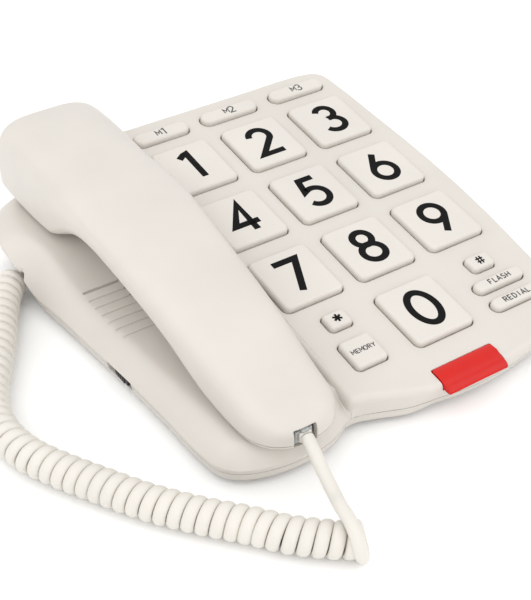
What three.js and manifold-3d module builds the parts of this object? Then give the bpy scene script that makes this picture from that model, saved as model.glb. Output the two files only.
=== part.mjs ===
// Corded big-button desk telephone: base with keypad deck and cradle, handset, curly handset cord.
// Millimetres. X to the right, Y to the rear, Z up. Origin on the table under the middle of the base.
import * as THREE from "three";
import { mergeVertices } from "three/addons/utils/BufferGeometryUtils.js";
import Module from "manifold-3d";

const wasm = await Module();
wasm.setup();

// ---------- driving dimensions ----------
const clearance = 0.3; // gap between neighbouring pieces
const wall = 2.3; // moulded wall of base and handset

// base
const baseHalfWidth = 94.5;
const footHeight = 2.5; // underside of the base above the table
const draftHeight = 12.5; // height over which the skirt flares out
const draft = 4.5; // how far the skirt tucks in at the bottom
const flankDraft = 1.2; // the same along the open side of the cradle and under its nose
const splitHeight = 7; // joint between top and bottom shell
const cradleFloor = 16.3;
const earShelf = 27;
const creaseHeight = 9; // where the cradle's rolled edge meets its wall
const earCreaseHeight = 21.5; // the same beside the ear end
const cradleEdgeRun = 11; // width of the rolled edge
const noseEdgeRun = 8;
const seamX = -25.4; // left edge of the keypad deck

// keypad deck
const deckTilt = THREE.MathUtils.degToRad(7.53);
const deckHeight = 30.5; // at the middle of key 5
const deckX = 31;
const deckY = 12.5;
const keyPitchX = 37;
const keyPitchY = 40.1;
const keyOpenX = 29.6;
const keyOpenY = 31.4;
const keyCorner = 3.2;
const keyGap = 0.5; // key to the edge of its opening
const keyRise = 2.4;
const keyTravel = 1.5;
const flangeSize = 1.1; // how far a key's flange reaches under the deck
const flangeThickness = 1;
const matThickness = 1.2;
const boardThickness = 1.6;

// small keys: centre in the deck's own plane, size of opening
const smallKeys = {
  key_memory_1: { u: -37.8, v: 67.7, sizeX: 28.6, sizeY: 8.6, corner: 4.2 },
  key_memory_2: { u: -1.6, v: 67.7, sizeX: 30.5, sizeY: 8.6, corner: 4.2 },
  key_memory_3: { u: 36.3, v: 67.7, sizeX: 30.5, sizeY: 8.6, corner: 4.2 },
  key_star: { u: -36.2, v: -68.4, sizeX: 11.4, sizeY: 9.4, corner: 2.2 },
  key_store: { u: -37, v: -86.9, sizeX: 15.6, sizeY: 15.6, corner: 2.4 },
  key_hash: { u: 36.2, v: -70, sizeX: 12.4, sizeY: 9, corner: 2.4 },
  key_flash: { u: 36.1, v: -82.3, sizeX: 26, sizeY: 7, corner: 3.4 },
  key_redial: { u: 36.1, v: -93.3, sizeX: 26, sizeY: 7, corner: 3.4 },
};
const zeroKey = { u: -2.1, v: -80.7 };

// call lamp
const lensCentreX = 26.1;
const lensWidth = 29.4;
const lensRear = -94.3;
const lensFront = -106.3;
const lensBottom = 12.4;

// handset
const handsetX = -51.6;
const handsetTurn = THREE.MathUtils.degToRad(0.8);
const mouthEnd = -102;
const earEnd = 106.3;
const mouthEndLength = 19;
const earEndLength = 14;
const mouthY = -78;
const earY = 78;
const mouthCap = { x: 13.5, y: 15, drop: 3.4 };
const earCap = { x: 18.5, y: 18, drop: 4 };
const bowlMargin = 2;
const bowlExtraDepth = 1.4;

// cord
const cordDiameter = 5;
const coilDiameter = 13.8;
const coilHeight = 7.2; // middle of the coil above the table
const plugWidth = 7.7;
const plugHeight = 6.5;
const plugLength = 11;
const socketSlack = 0.4;
const handsetPlugX = -2; // across the handset, from its axis
const handsetPlugZ = 22.1;
const basePlugZ = 9;
const baseJackFace = [-80, 74];
const baseJackTurn = THREE.MathUtils.degToRad(45); // direction of the cord at the base, from -Y towards -X
const notchTop = 16.5; // roof of the recess that the cord leaves by

// ---------- materials ----------
function plastic(color, roughness, metalness = 0) {
  return new THREE.MeshStandardMaterial({ color, roughness, metalness });
}
const ivory = plastic(0xd9d4c9, 0.42);
const keyIvory = plastic(0xdedad0, 0.4);
const innerIvory = plastic(0xd2cdc2, 0.5);
const cordIvory = plastic(0xe0dcd0, 0.5);
const blackPlastic = plastic(0x1c1c1c, 0.5);
const lampRed = plastic(0xc01f12, 0.2);
const rubber = plastic(0x2a2a2a, 0.85);
const boardGreen = plastic(0x2f6b3a, 0.55);
const clearPlug = plastic(0xd8dcdc, 0.15);
const steel = plastic(0x9a9c9e, 0.35, 0.9);
const ledMaterial = plastic(0xe8e4da, 0.25);
const siliconeGrey = plastic(0xa8a8a4, 0.7);

// ---------- solids ----------
function solid(geometry) {
  const bare = geometry.clone();
  bare.deleteAttribute("normal");
  bare.deleteAttribute("uv");
  const merged = mergeVertices(bare, 1e-4);
  const vertProperties = new Float32Array(merged.attributes.position.array);
  const triVerts = new Uint32Array(merged.index.array);
  return new wasm.Manifold(new wasm.Mesh({ numProp: 3, vertProperties, triVerts }));
}

function geometryOf(body) {
  const mesh = body.getMesh();
  const geometry = new THREE.BufferGeometry();
  geometry.setAttribute("position", new THREE.BufferAttribute(new Float32Array(mesh.vertProperties), 3));
  geometry.setIndex(new THREE.BufferAttribute(new Uint32Array(mesh.triVerts), 1));
  geometry.computeVertexNormals();
  return geometry;
}

function box(x0, x1, y0, y1, z0, z1) {
  const geometry = new THREE.BoxGeometry(x1 - x0, y1 - y0, z1 - z0);
  return geometry.translate((x0 + x1) / 2, (y0 + y1) / 2, (z0 + z1) / 2);
}

function disc(radius, z0, z1, sides = 20) {
  const geometry = new THREE.CylinderGeometry(radius, radius, z1 - z0, sides);
  return geometry.rotateX(Math.PI / 2).translate(0, 0, (z0 + z1) / 2);
}

function roundedRect(sizeX, sizeY, corner, steps = 3) {
  const points = [];
  const centres = [[1, 1], [-1, 1], [-1, -1], [1, -1]];
  centres.forEach(([sx, sy], quarter) => {
    for (let i = 0; i <= steps; i += 1) {
      const angle = ((quarter + i / steps) * Math.PI) / 2;
      const x = sx * (sizeX / 2 - corner) + corner * Math.cos(angle);
      const y = sy * (sizeY / 2 - corner) + corner * Math.sin(angle);
      points.push(new THREE.Vector2(x, y));
    }
  });
  return points;
}

function prism(points, z0, z1) {
  const outline = new THREE.Shape(points);
  const geometry = new THREE.ExtrudeGeometry(outline, { depth: z1 - z0, bevelEnabled: false });
  return geometry.translate(0, 0, z0);
}

// closed skin over rings that all have the same number of points; the ends are flat or pointed
function loft(rings) {
  const positions = [];
  const indices = [];
  const count = rings[0].length;
  rings.forEach((ring) => ring.forEach((point) => positions.push(point.x, point.y, point.z)));
  for (let r = 0; r + 1 < rings.length; r += 1) {
    for (let i = 0; i < count; i += 1) {
      const j = (i + 1) % count;
      const a = r * count + i;
      const b = r * count + j;
      indices.push(a, b, b + count, a, b + count, a + count);
    }
  }
  return { positions, indices, count };
}

function geometryFrom(positions, indices) {
  const geometry = new THREE.BufferGeometry();
  geometry.setAttribute("position", new THREE.Float32BufferAttribute(positions, 3));
  geometry.setIndex(indices);
  return geometry;
}

// a stack of level outlines made from one plan, lowest first, each running anticlockwise
function stack(plan, rings) {
  const skin = loft(rings);
  const lid = (rings.length - 1) * skin.count;
  const flat = plan.map((point) => new THREE.Vector2(point.x, point.y));
  THREE.ShapeUtils.triangulateShape(flat, []).forEach(([a, b, c]) => {
    skin.indices.push(a, c, b, lid + a, lid + b, lid + c);
  });
  return geometryFrom(skin.positions, skin.indices);
}

function smooth(x, from, to) {
  const t = Math.min(1, Math.max(0, (x - from) / (to - from)));
  return t * t * (3 - 2 * t);
}

// smooth curve through [position, value] pairs
function profile(table, at) {
  const last = table.length - 1;
  if (at <= table[0][0]) return table[0][1];
  if (at >= table[last][0]) return table[last][1];
  const slope = (i) => {
    const before = table[Math.max(0, i - 1)];
    const after = table[Math.min(last, i + 1)];
    return (after[1] - before[1]) / (after[0] - before[0]);
  };
  const i = table.findIndex((pair) => pair[0] > at) - 1;
  const span = table[i + 1][0] - table[i][0];
  const t = (at - table[i][0]) / span;
  const rise = t * t * (3 - 2 * t);
  const bendStart = t * (1 - t) * (1 - t) * span * slope(i);
  const bendEnd = -t * t * (1 - t) * span * slope(i + 1);
  return table[i][1] + (table[i + 1][1] - table[i][1]) * rise + bendStart + bendEnd;
}

// ---------- base form ----------
// outline of the base at its widest, anticlockwise from the rear right corner
const rimPoints = [
  [88, 88.5], [81, 91.6], [40, 92.3], [0, 92.5], [-24, 93], [-36, 96.5], [-54, 99], [-73, 96.5], [-87, 87.5],
  [-93.9, 72], [-94.3, 58], [-92.6, 42], [-90, 26], [-86.9, -5], [-84.8, -27], [-83.1, -51],
  [-81.9, -76], [-80, -86], [-75, -92], [-66, -96.2], [-54, -98.4], [-42, -98], [-34, -96.2],
  [-28.5, -93.4], [-25.5, -91.9], [-21, -91.9], [-14, -94.2], [-6, -97.4], [6, -101.8], [22, -104.6],
  [40, -104.8], [58, -102.4], [74, -98.2], [85, -91.5], [89.8, -81], [91.4, -62], [93.6, -34],
  [94.5, -8], [93.9, 22], [92.2, 50], [90.6, 74],
];
const widening = baseHalfWidth / 94.5; // the outline above was drawn at a half width of 94.5
const rimCurve = new THREE.CatmullRomCurve3(
  rimPoints.map(([x, y]) => new THREE.Vector3(x * widening, y, 0)),
  true,
  "centripetal",
);
const rim = rimCurve.getPoints(rimPoints.length * 2).slice(0, -1);

function inset(points, amount) {
  return points.map((point, i) => {
    const before = points[(i + points.length - 1) % points.length];
    const after = points[(i + 1) % points.length];
    const along = after.clone().sub(before).normalize();
    const distance = typeof amount === "number" ? amount : amount(point);
    return new THREE.Vector3(point.x - along.y * distance, point.y + along.x * distance, 0);
  });
}

function level(points, z) {
  return points.map((point) => new THREE.Vector3(point.x, point.y, z));
}

// the tuck of the skirt, slight around the cradle
function tuck(point) {
  const away = Math.max(smooth(point.y, 30, 55), smooth(point.x, -5, 12));
  return flankDraft + (draft - flankDraft) * away;
}

function baseForm(shrink) {
  const foot = inset(rim, (point) => tuck(point) + shrink);
  const top = inset(rim, shrink);
  const bottom = footHeight + (shrink > 0 ? wall : 0);
  return stack(rim, [level(foot, bottom), level(top, footHeight + draftHeight), level(top, 70)]);
}

// distance inwards from the rim, nothing outside it
function rimDistance(x, y) {
  let nearest = Infinity;
  let inside = false;
  rim.forEach((from, i) => {
    const to = rim[(i + 1) % rim.length];
    const dx = to.x - from.x;
    const dy = to.y - from.y;
    const t = Math.min(1, Math.max(0, ((x - from.x) * dx + (y - from.y) * dy) / (dx * dx + dy * dy)));
    nearest = Math.min(nearest, Math.hypot(x - from.x - t * dx, y - from.y - t * dy));
    const crosses = from.y > y !== to.y > y;
    if (crosses && x < from.x + ((y - from.y) * dx) / dy) inside = !inside;
  });
  return inside ? nearest : 0;
}

function deckTop(y) {
  return deckHeight + (y - deckY) * Math.tan(deckTilt);
}

function axisX(y) {
  return handsetX - y * Math.tan(handsetTurn);
}

function bowl(x, y, centreY, cap) {
  const rx = cap.x + bowlMargin;
  const ry = cap.y + bowlMargin;
  const away = Math.hypot((x - axisX(centreY)) / rx, (y - centreY) / ry);
  return (cap.drop + bowlExtraDepth) * Math.sqrt(Math.max(0, 1 - away * away));
}

function cradleTop(x, y) {
  const shelf = cradleFloor + (earShelf - cradleFloor) * smooth(y, 16, 50);
  const crease = creaseHeight + (earCreaseHeight - creaseHeight) * smooth(y, 36, 66);
  const run = cradleEdgeRun + (noseEdgeRun - cradleEdgeRun) * smooth(-y, 74, 92);
  const near = Math.max(0, 1 - rimDistance(x, y) / run);
  const rolled = (shelf - crease) * Math.pow(near, 1.8);
  return shelf - rolled - bowl(x, y, mouthY, mouthCap) - bowl(x, y, earY, earCap);
}

function baseTop(x, y) {
  return x < seamX ? cradleTop(x, y) : deckTop(y);
}

function innerTop(x, y) {
  const lowest = Math.min(baseTop(x - wall, y), baseTop(x, y), baseTop(x + wall, y));
  return lowest - wall;
}

// closed solid under a surface z(x, y)
function heightSolid(xs, ys, surface, floor) {
  const positions = [];
  const indices = [];
  const grid = (i, j, top) => 2 * (i * ys.length + j) + top;
  xs.forEach((x) => ys.forEach((y) => positions.push(x, y, floor, x, y, surface(x, y))));
  const quad = (a, b, c, d) => indices.push(a, b, c, a, c, d);
  for (let i = 0; i + 1 < xs.length; i += 1) {
    for (let j = 0; j + 1 < ys.length; j += 1) {
      quad(grid(i, j, 1), grid(i + 1, j, 1), grid(i + 1, j + 1, 1), grid(i, j + 1, 1));
      quad(grid(i, j, 0), grid(i, j + 1, 0), grid(i + 1, j + 1, 0), grid(i + 1, j, 0));
    }
  }
  const right = xs.length - 1;
  const rear = ys.length - 1;
  for (let i = 0; i < right; i += 1) {
    quad(grid(i, 0, 0), grid(i + 1, 0, 0), grid(i + 1, 0, 1), grid(i, 0, 1));
    quad(grid(i + 1, rear, 0), grid(i, rear, 0), grid(i, rear, 1), grid(i + 1, rear, 1));
  }
  for (let j = 0; j < rear; j += 1) {
    quad(grid(0, j + 1, 0), grid(0, j, 0), grid(0, j, 1), grid(0, j + 1, 1));
    quad(grid(right, j, 0), grid(right, j + 1, 0), grid(right, j + 1, 1), grid(right, j, 1));
  }
  return geometryFrom(positions, indices);
}

function steps(from, to, count) {
  return Array.from({ length: count + 1 }, (unused, i) => from + ((to - from) * i) / count);
}

const reach = baseHalfWidth + 7.5; // past the rim on either side
const flankXs = steps(-baseHalfWidth - 1.5, -70, 7);
const outerXs = [-reach, ...flankXs, ...steps(-64, seamX - 0.8, 6), seamX + 0.4, reach];
const innerSeam = seamX + wall;
const innerXs = [-reach, ...flankXs, ...steps(-60, seamX - 0.8, 4), innerSeam - 0.1, innerSeam + 0.6, reach];
const surfaceYs = [-112, ...steps(-101, -86, 4), -80, -72, -64, -56, -30, 0, ...steps(16, 98, 12), 106];

const deckMatrix = new THREE.Matrix4()
  .makeTranslation(deckX, deckY, deckHeight)
  .multiply(new THREE.Matrix4().makeRotationX(deckTilt));

function onDeck(geometry) {
  return geometry.clone().applyMatrix4(deckMatrix);
}

// ---------- keys ----------
const keys = [];
for (let digit = 1; digit <= 9; digit += 1) {
  const column = (digit - 1) % 3;
  const row = Math.floor((digit - 1) / 3);
  keys.push({
    name: `key_${digit}`,
    u: (column - 1) * keyPitchX,
    v: (1 - row) * keyPitchY,
    sizeX: keyOpenX,
    sizeY: keyOpenY,
    corner: keyCorner,
  });
}
keys.push({ name: "key_0", ...zeroKey, sizeX: keyOpenX, sizeY: keyOpenY, corner: keyCorner });
Object.entries(smallKeys).forEach(([name, place]) => keys.push({ name, ...place }));

const flangeTop = -(wall + clearance);
const matTop = flangeTop - flangeThickness - keyTravel - clearance;
const boardTop = matTop - matThickness - clearance;

function keySolid(key) {
  const cap = roundedRect(key.sizeX - 2 * keyGap, key.sizeY - 2 * keyGap, key.corner - keyGap);
  const flange = roundedRect(key.sizeX + 2 * flangeSize, key.sizeY + 2 * flangeSize, key.corner, 1);
  const body = solid(prism(cap, flangeTop - flangeThickness / 2, keyRise));
  return geometryOf(body.add(solid(prism(flange, flangeTop - flangeThickness, flangeTop))));
}

function keyOpening(key) {
  const outline = roundedRect(key.sizeX, key.sizeY, key.corner, 2);
  return onDeck(prism(outline, -6, 6).translate(key.u, key.v, 0));
}

// a flat sheet under the deck, with room for the bosses that pass through it
function sheet([u0, u1], [v0, v1], top, thickness) {
  let body = solid(onDeck(box(u0, u1, v0, v1, top - thickness, top)));
  screwPlaces.forEach(([x, y]) => {
    body = body.subtract(solid(along(x, y, disc(bossRadius + 2 * clearance, 0, 60, 12))));
  });
  return body;
}

// ---------- call lamp ----------
function lampProfile(grow) {
  const rear = deckTop(lensRear);
  const front = deckTop(lensFront);
  const points = [
    [lensRear + grow, rear - 3.4 - grow],
    [lensRear + grow, rear + 0.6 + grow],
    [lensFront + 2.6, front + 0.4 + grow],
    [lensFront + 0.5 - grow, front - 0.6 + grow],
    [lensFront - grow, front - 1.5],
    [lensFront + 0.6 - grow, lensBottom - grow],
    [lensFront + 5, lensBottom - grow],
  ];
  return points.map(([y, z]) => new THREE.Vector2(y, z));
}

function acrossX(points, x0, x1) {
  const geometry = prism(points, x0, x1);
  return geometry.applyMatrix4(new THREE.Matrix4().set(0, 0, 1, 0, 1, 0, 0, 0, 0, 1, 0, 0, 0, 0, 0, 1));
}

function lampSolid(grow) {
  const half = lensWidth / 2 + grow;
  return acrossX(lampProfile(grow), lensCentreX - half, lensCentreX + half);
}

// the lens's place in the deck, open upwards
function lampRoom() {
  const half = lensWidth / 2 + clearance;
  const left = lensCentreX - half;
  const right = lensCentreX + half;
  const above = box(left, right, lensFront - 2, lensRear + clearance, deckTop(lensFront) - 1, 40);
  return solid(lampSolid(clearance)).add(solid(above));
}

// ---------- jacks and plugs, built along -Y with the socket's mouth at y = 0 ----------
function jackSolid(width, height, depth, openWidth, openHeight, openDepth) {
  const block = solid(box(-width / 2, width / 2, 0, depth, -height / 2, height / 2));
  const socket = box(-openWidth / 2, openWidth / 2, -1, openDepth, -openHeight / 2, openHeight / 2);
  return block.subtract(solid(socket));
}

function plugSolid() {
  const half = plugWidth / 2;
  const top = plugHeight / 2;
  const body = solid(box(-half, half, -plugLength * 0.3, plugLength * 0.7, -top, top));
  const latch = box(-1.6, 1.6, -plugLength * 0.45, plugLength * 0.4, top - 1, top);
  return body.add(solid(latch));
}

const socketWidth = plugWidth + 2 * socketSlack;
const socketHeight = plugHeight + 2 * socketSlack;
const socketDepth = plugLength * 0.7 + clearance;
const baseJack = { width: 18, height: 11, depth: 12 };
const handsetJack = { width: 13, height: 8.6, depth: 13 };
const lineJack = { x: 40, z: 20, width: 16, height: 14, depth: 16 };
const lineOpening = { width: 9.8, height: 7, depth: 12 };
const baseJackMatrix = new THREE.Matrix4()
  .makeTranslation(baseJackFace[0], baseJackFace[1], basePlugZ)
  .multiply(new THREE.Matrix4().makeRotationZ(-baseJackTurn));

// ---------- base pieces ----------
const screwPlaces = [[-74, 46], [-72, -66], [49.5, 32.4], [72, -89]];
const screwHead = { radius: 3, depth: 1.6 };
const screwShaft = { radius: 1.4, top: 12 };
const bossRadius = 3.6;
const feetPlaces = [[-56, 84], [-60, -82], [76, 74], [79, -70]];
const footRadius = 6;
const footPeg = 1.8;
const plungerY = 55;
const plungerRadius = 3;
const plungerFlange = 5;
const speaker = { x: -56, y: 6, radius: 18, height: 6.5 };
const grille = { rows: 9, pitch: 4.4, length: 26, width: 1.3 };
const ringerSwitch = { y: -21, z: 6.6, length: 17, height: 4.4, travel: 3 };
const floorTop = footHeight + wall;
const switchX = wall + 15.1 - baseHalfWidth; // outer face of the ringer switch
const notchWall = 1.8;

function along(x, y, geometry) {
  return geometry.translate(x, y, 0);
}

// the recess for the cord and its jack; grown by a wall, the lining of that recess
function notch(grow) {
  const half = baseJack.width / 2 + clearance + grow;
  const back = baseJack.depth + clearance + grow;
  const recess = box(-half, half, -60, back, -basePlugZ, notchTop + grow - basePlugZ);
  return solid(recess.applyMatrix4(baseJackMatrix));
}

function ringerWindow() {
  const { y, z, length, height } = ringerSwitch;
  return box(-reach, switchX + 4.6, y - length / 2, y + length / 2, z - height / 2, z + height / 2);
}

function lineJackPlace(geometry) {
  return geometry.rotateZ(Math.PI).translate(lineJack.x, 91, lineJack.z);
}

function baseTopShell() {
  const outside = solid(heightSolid(outerXs, surfaceYs, baseTop, 0)).intersect(solid(baseForm(0)));
  const inside = solid(heightSolid(innerXs, surfaceYs, innerTop, 0)).intersect(solid(baseForm(wall)));
  const belowSplit = solid(box(-reach - 8, reach + 8, -120, 120, -1, splitHeight));
  let shell = outside.subtract(inside).subtract(belowSplit);
  keys.forEach((key) => {
    shell = shell.subtract(solid(keyOpening(key)));
  });
  for (let i = 0; i < grille.rows; i += 1) {
    const y = speaker.y + (i - (grille.rows - 1) / 2) * grille.pitch;
    const slot = box(-grille.length / 2, grille.length / 2, -grille.width / 2, grille.width / 2, 10, 20);
    shell = shell.subtract(solid(along(speaker.x, y, slot)));
  }
  screwPlaces.forEach(([x, y]) => {
    const boss = solid(along(x, y, disc(bossRadius, splitHeight, 40, 12))).intersect(outside);
    const bore = disc(screwShaft.radius + clearance, splitHeight - 1, screwShaft.top + 1, 12);
    const hole = solid(along(x, y, bore));
    shell = shell.add(boss).subtract(hole);
  });
  const plungerHole = disc(plungerRadius + clearance, 10, 40, 12);
  shell = shell.subtract(solid(along(axisX(plungerY), plungerY, plungerHole)));
  shell = shell.subtract(lampRoom());
  const lining = notch(notchWall).intersect(outside).subtract(belowSplit);
  shell = shell.add(lining).subtract(notch(0));
  shell = shell.subtract(solid(ringerWindow()));
  const jackHole = box(-7, 7, -8, 14, -5.5, 5.5);
  return shell.subtract(solid(lineJackPlace(jackHole)));
}

function baseBottomShell() {
  const below = box(-reach - 8, reach + 8, -120, 120, -1, splitHeight - clearance);
  let shell = solid(baseForm(0)).intersect(solid(below));
  shell = shell.subtract(solid(baseForm(wall)));
  screwPlaces.forEach(([x, y]) => {
    const boss = disc(bossRadius, footHeight + 0.2, splitHeight - clearance, 12);
    const head = disc(screwHead.radius + clearance, 0, footHeight + screwHead.depth + clearance, 16);
    const hole = disc(screwShaft.radius + clearance, 0, 20, 12);
    shell = shell.add(solid(along(x, y, boss))).subtract(solid(along(x, y, head)));
    shell = shell.subtract(solid(along(x, y, hole)));
  });
  feetPlaces.forEach(([x, y]) => {
    shell = shell.subtract(solid(along(x, y, disc(footPeg + clearance, 0, 20, 10))));
  });
  const lining = notch(notchWall).intersect(solid(baseForm(0))).intersect(solid(below));
  return shell.add(lining).subtract(notch(0)).subtract(solid(ringerWindow()));
}

function footGeometry() {
  const outline = [
    [0, 0], [footRadius - 0.6, 0], [footRadius, 0.6], [footRadius, footHeight - clearance],
    [footPeg, footHeight - clearance], [footPeg, floorTop + 0.6], [0, floorTop + 0.6],
  ];
  const points = outline.map(([x, y]) => new THREE.Vector2(x, y));
  return new THREE.LatheGeometry(points, 14).rotateX(Math.PI / 2);
}

function screwGeometry() {
  const headTop = footHeight + screwHead.depth;
  const outline = [
    [0, footHeight + 0.3], [screwHead.radius, footHeight + 0.3], [screwHead.radius, headTop],
    [screwShaft.radius, headTop], [screwShaft.radius, screwShaft.top], [0, screwShaft.top],
  ];
  const points = outline.map(([x, y]) => new THREE.Vector2(x, y));
  return new THREE.LatheGeometry(points, 10).rotateX(Math.PI / 2);
}

// ---------- handset form ----------
// [position along the handset, value]
const handsetTop = [
  [-104, 28], [-90, 31.5], [-74.5, 35.5], [-55, 41], [-25.6, 48.2], [18, 55.6], [54, 58.8], [80, 59.3],
  [107, 57.5],
];
const handsetWaist = [
  [-104, 20], [-82, 20], [-62, 26], [-40, 33.5], [-5, 42], [22, 46], [40, 41], [52, 33], [107, 32],
];
const handsetBottom = [
  [-104, 16.9], [-66, 16.9], [-52, 21.5], [-38, 27.5], [-10, 33], [14, 36], [33, 35], [45, 29.5],
  [53, 27.6], [107, 27.6],
];
const handsetHalfWidth = [
  [-104, 18.4], [-85, 19], [-70, 20.2], [-55, 21.2], [-25, 22.4], [18, 24.6], [54, 26], [80, 26.4],
  [107, 26],
];
const upperFullness = [[-104, 3.4], [-50, 3.2], [0, 2.9], [45, 3.4], [107, 4.2]];
const lowerFullness = [[-104, 3.4], [-60, 3], [-30, 2.2], [25, 2.2], [52, 3.4], [107, 3.4]];
const ringPoints = 20;

function handsetStations() {
  const ends = steps(0, 1, 5).map((t) => Math.sin((t * Math.PI) / 2));
  const front = ends.map((t) => mouthEnd + mouthEndLength * (1 - t)).reverse();
  const rear = ends.map((t) => earEnd - earEndLength * (1 - t));
  const middle = steps(mouthEnd + mouthEndLength, earEnd - earEndLength, 13).slice(1, -1);
  return [...front, ...middle, ...rear];
}

function handsetRing(y, shrink) {
  const front = mouthEnd + mouthEndLength;
  const rear = earEnd - earEndLength;
  const t = Math.max((front - y) / mouthEndLength, (y - rear) / earEndLength, 0);
  const taper = (mouthPower, earPower) => {
    const power = y > 0 ? earPower : mouthPower;
    return Math.pow(Math.max(0, 1 - Math.pow(t, power)), 1 / power);
  };
  const half = (profile(handsetHalfWidth, y) - shrink) * taper(2.4, 3.2);
  const waist = profile(handsetWaist, y);
  const up = (profile(handsetTop, y) - shrink - waist) * taper(4, 5);
  const down = (waist - profile(handsetBottom, y) - shrink) * taper(3.4, 5);
  const ring = [];
  for (let i = 0; i < ringPoints; i += 1) {
    const angle = (2 * Math.PI * i) / ringPoints;
    const fullness = profile(Math.sin(angle) >= 0 ? upperFullness : lowerFullness, y);
    const c = Math.sign(Math.cos(angle)) * Math.pow(Math.abs(Math.cos(angle)), 2 / fullness);
    const s = Math.pow(Math.abs(Math.sin(angle)), 2 / fullness);
    const z = Math.sin(angle) >= 0 ? waist + up * s : waist - down * s;
    ring.push(new THREE.Vector3(half * c, y, z));
  }
  return ring;
}

function handsetForm(shrink) {
  const middle = (mouthEnd + earEnd) / 2;
  const scale = (earEnd - mouthEnd - 2 * shrink) / (earEnd - mouthEnd);
  const rings = handsetStations().map((y) => handsetRing(y, shrink).map((point) => {
    point.y = middle + (y - middle) * scale;
    return point;
  }));
  const inner = rings.slice(1, -1);
  const skin = loft(inner);
  const tips = [rings[0][0], rings[rings.length - 1][0]];
  tips.forEach((tip, end) => {
    const hub = skin.positions.length / 3;
    skin.positions.push(0, tip.y, tip.z);
    const base = end === 0 ? 0 : (inner.length - 1) * skin.count;
    for (let i = 0; i < skin.count; i += 1) {
      const a = base + i;
      const b = base + ((i + 1) % skin.count);
      skin.indices.push(hub, end === 0 ? b : a, end === 0 ? a : b);
    }
  });
  const flipped = [];
  for (let i = 0; i < skin.indices.length; i += 3) {
    flipped.push(skin.indices[i], skin.indices[i + 2], skin.indices[i + 1]);
  }
  return geometryFrom(skin.positions, flipped);
}

// the lower shell is a shallow lid
function splitLine(y) {
  return profile(handsetBottom, y) + wall + 0.4;
}

function aboveSplit(offset) {
  const line = steps(mouthEnd - 2, earEnd + 2, 18).map((y) => new THREE.Vector2(y, splitLine(y) + offset));
  const points = [...line, new THREE.Vector2(earEnd + 2, 90), new THREE.Vector2(mouthEnd - 2, 90)];
  return acrossX(points, -40, 40);
}

function capSolid(centreY, cap, bottom, shrink) {
  const ball = new THREE.SphereGeometry(1, 20, 10);
  return ball.scale(cap.x - shrink, cap.y - shrink, cap.drop + 2 - shrink).translate(0, centreY, bottom + 2);
}

const handsetHollow = solid(handsetForm(wall));
const socketWindow = { halfWidth: 4.8, halfHeight: 3.9 };
const jackFaceY = mouthEnd + 5;

function jackRoom() {
  const low = handsetPlugZ - handsetJack.height / 2 - clearance;
  const high = handsetPlugZ + handsetJack.height / 2 + clearance;
  const half = handsetJack.width / 2 + clearance;
  const back = jackFaceY + handsetJack.depth + clearance;
  const room = solid(box(handsetPlugX - half, handsetPlugX + half, jackFaceY - clearance, back, low, high));
  const left = handsetPlugX - socketWindow.halfWidth;
  const right = handsetPlugX + socketWindow.halfWidth;
  const up = socketWindow.halfHeight;
  return room.add(solid(box(left, right, mouthEnd - 4, jackFaceY + 1, handsetPlugZ - up, handsetPlugZ + up)));
}

function handsetUpperShell() {
  const shell = solid(handsetForm(0)).subtract(handsetHollow);
  return shell.intersect(solid(aboveSplit(clearance))).subtract(jackRoom());
}

const handsetScrews = [-22, 16];

function handsetLowerShell() {
  let body = solid(handsetForm(0));
  body = body.add(solid(capSolid(mouthY, mouthCap, profile(handsetBottom, mouthY), 0)));
  body = body.add(solid(capSolid(earY, earCap, profile(handsetBottom, earY), 0)));
  let shell = body.subtract(handsetHollow).subtract(solid(aboveSplit(0)));
  handsetScrews.forEach((y) => {
    const low = profile(handsetBottom, y);
    const boss = disc(3.4, low + 0.5, low + 5, 12).translate(0, y, 0);
    const head = disc(2.6 + clearance, low - 5, low + 1.8, 12).translate(0, y, 0);
    const hole = disc(1.2 + clearance, low - 1, low + 9, 12).translate(0, y, 0);
    shell = shell.add(solid(boss)).subtract(solid(head)).subtract(solid(hole));
  });
  const sound = [[0, 0], [5, 0], [-5, 0], [2.5, 4.3], [-2.5, 4.3], [2.5, -4.3], [-2.5, -4.3]];
  sound.forEach(([x, y]) => {
    const depth = profile(handsetBottom, earY);
    shell = shell.subtract(solid(disc(0.9, depth - 9, depth + 5, 8).translate(x, earY + y, 0)));
  });
  const low = profile(handsetBottom, mouthY);
  return shell.subtract(solid(disc(0.9, low - 9, low + 5, 8).translate(0, mouthY, 0))).subtract(jackRoom());
}

function handsetScrewGeometry(y) {
  const low = profile(handsetBottom, y);
  const outline = [
    [0, low + 0.3], [2.6, low + 0.3], [2.6, low + 1.5], [1.2, low + 1.5], [1.2, low + 8], [0, low + 8],
  ];
  const points = outline.map(([x, z]) => new THREE.Vector2(x, z));
  return new THREE.LatheGeometry(points, 12).rotateX(Math.PI / 2).translate(0, y, 0);
}

// ---------- cord ----------
function tube(points, diameter, sides, stepCount) {
  const curve = new THREE.CatmullRomCurve3(points.map(([x, y, z]) => new THREE.Vector3(x, y, z)));
  const section = [];
  for (let i = 0; i < sides; i += 1) {
    const angle = (2 * Math.PI * i) / sides;
    section.push(new THREE.Vector2((diameter / 2) * Math.cos(angle), (diameter / 2) * Math.sin(angle)));
  }
  return new THREE.ExtrudeGeometry(new THREE.Shape(section), { steps: stepCount, extrudePath: curve });
}

function handsetWorld(x, y, z) {
  const c = Math.cos(handsetTurn);
  const s = Math.sin(handsetTurn);
  return [handsetX + x * c - y * s, x * s + y * c, z];
}

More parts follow.
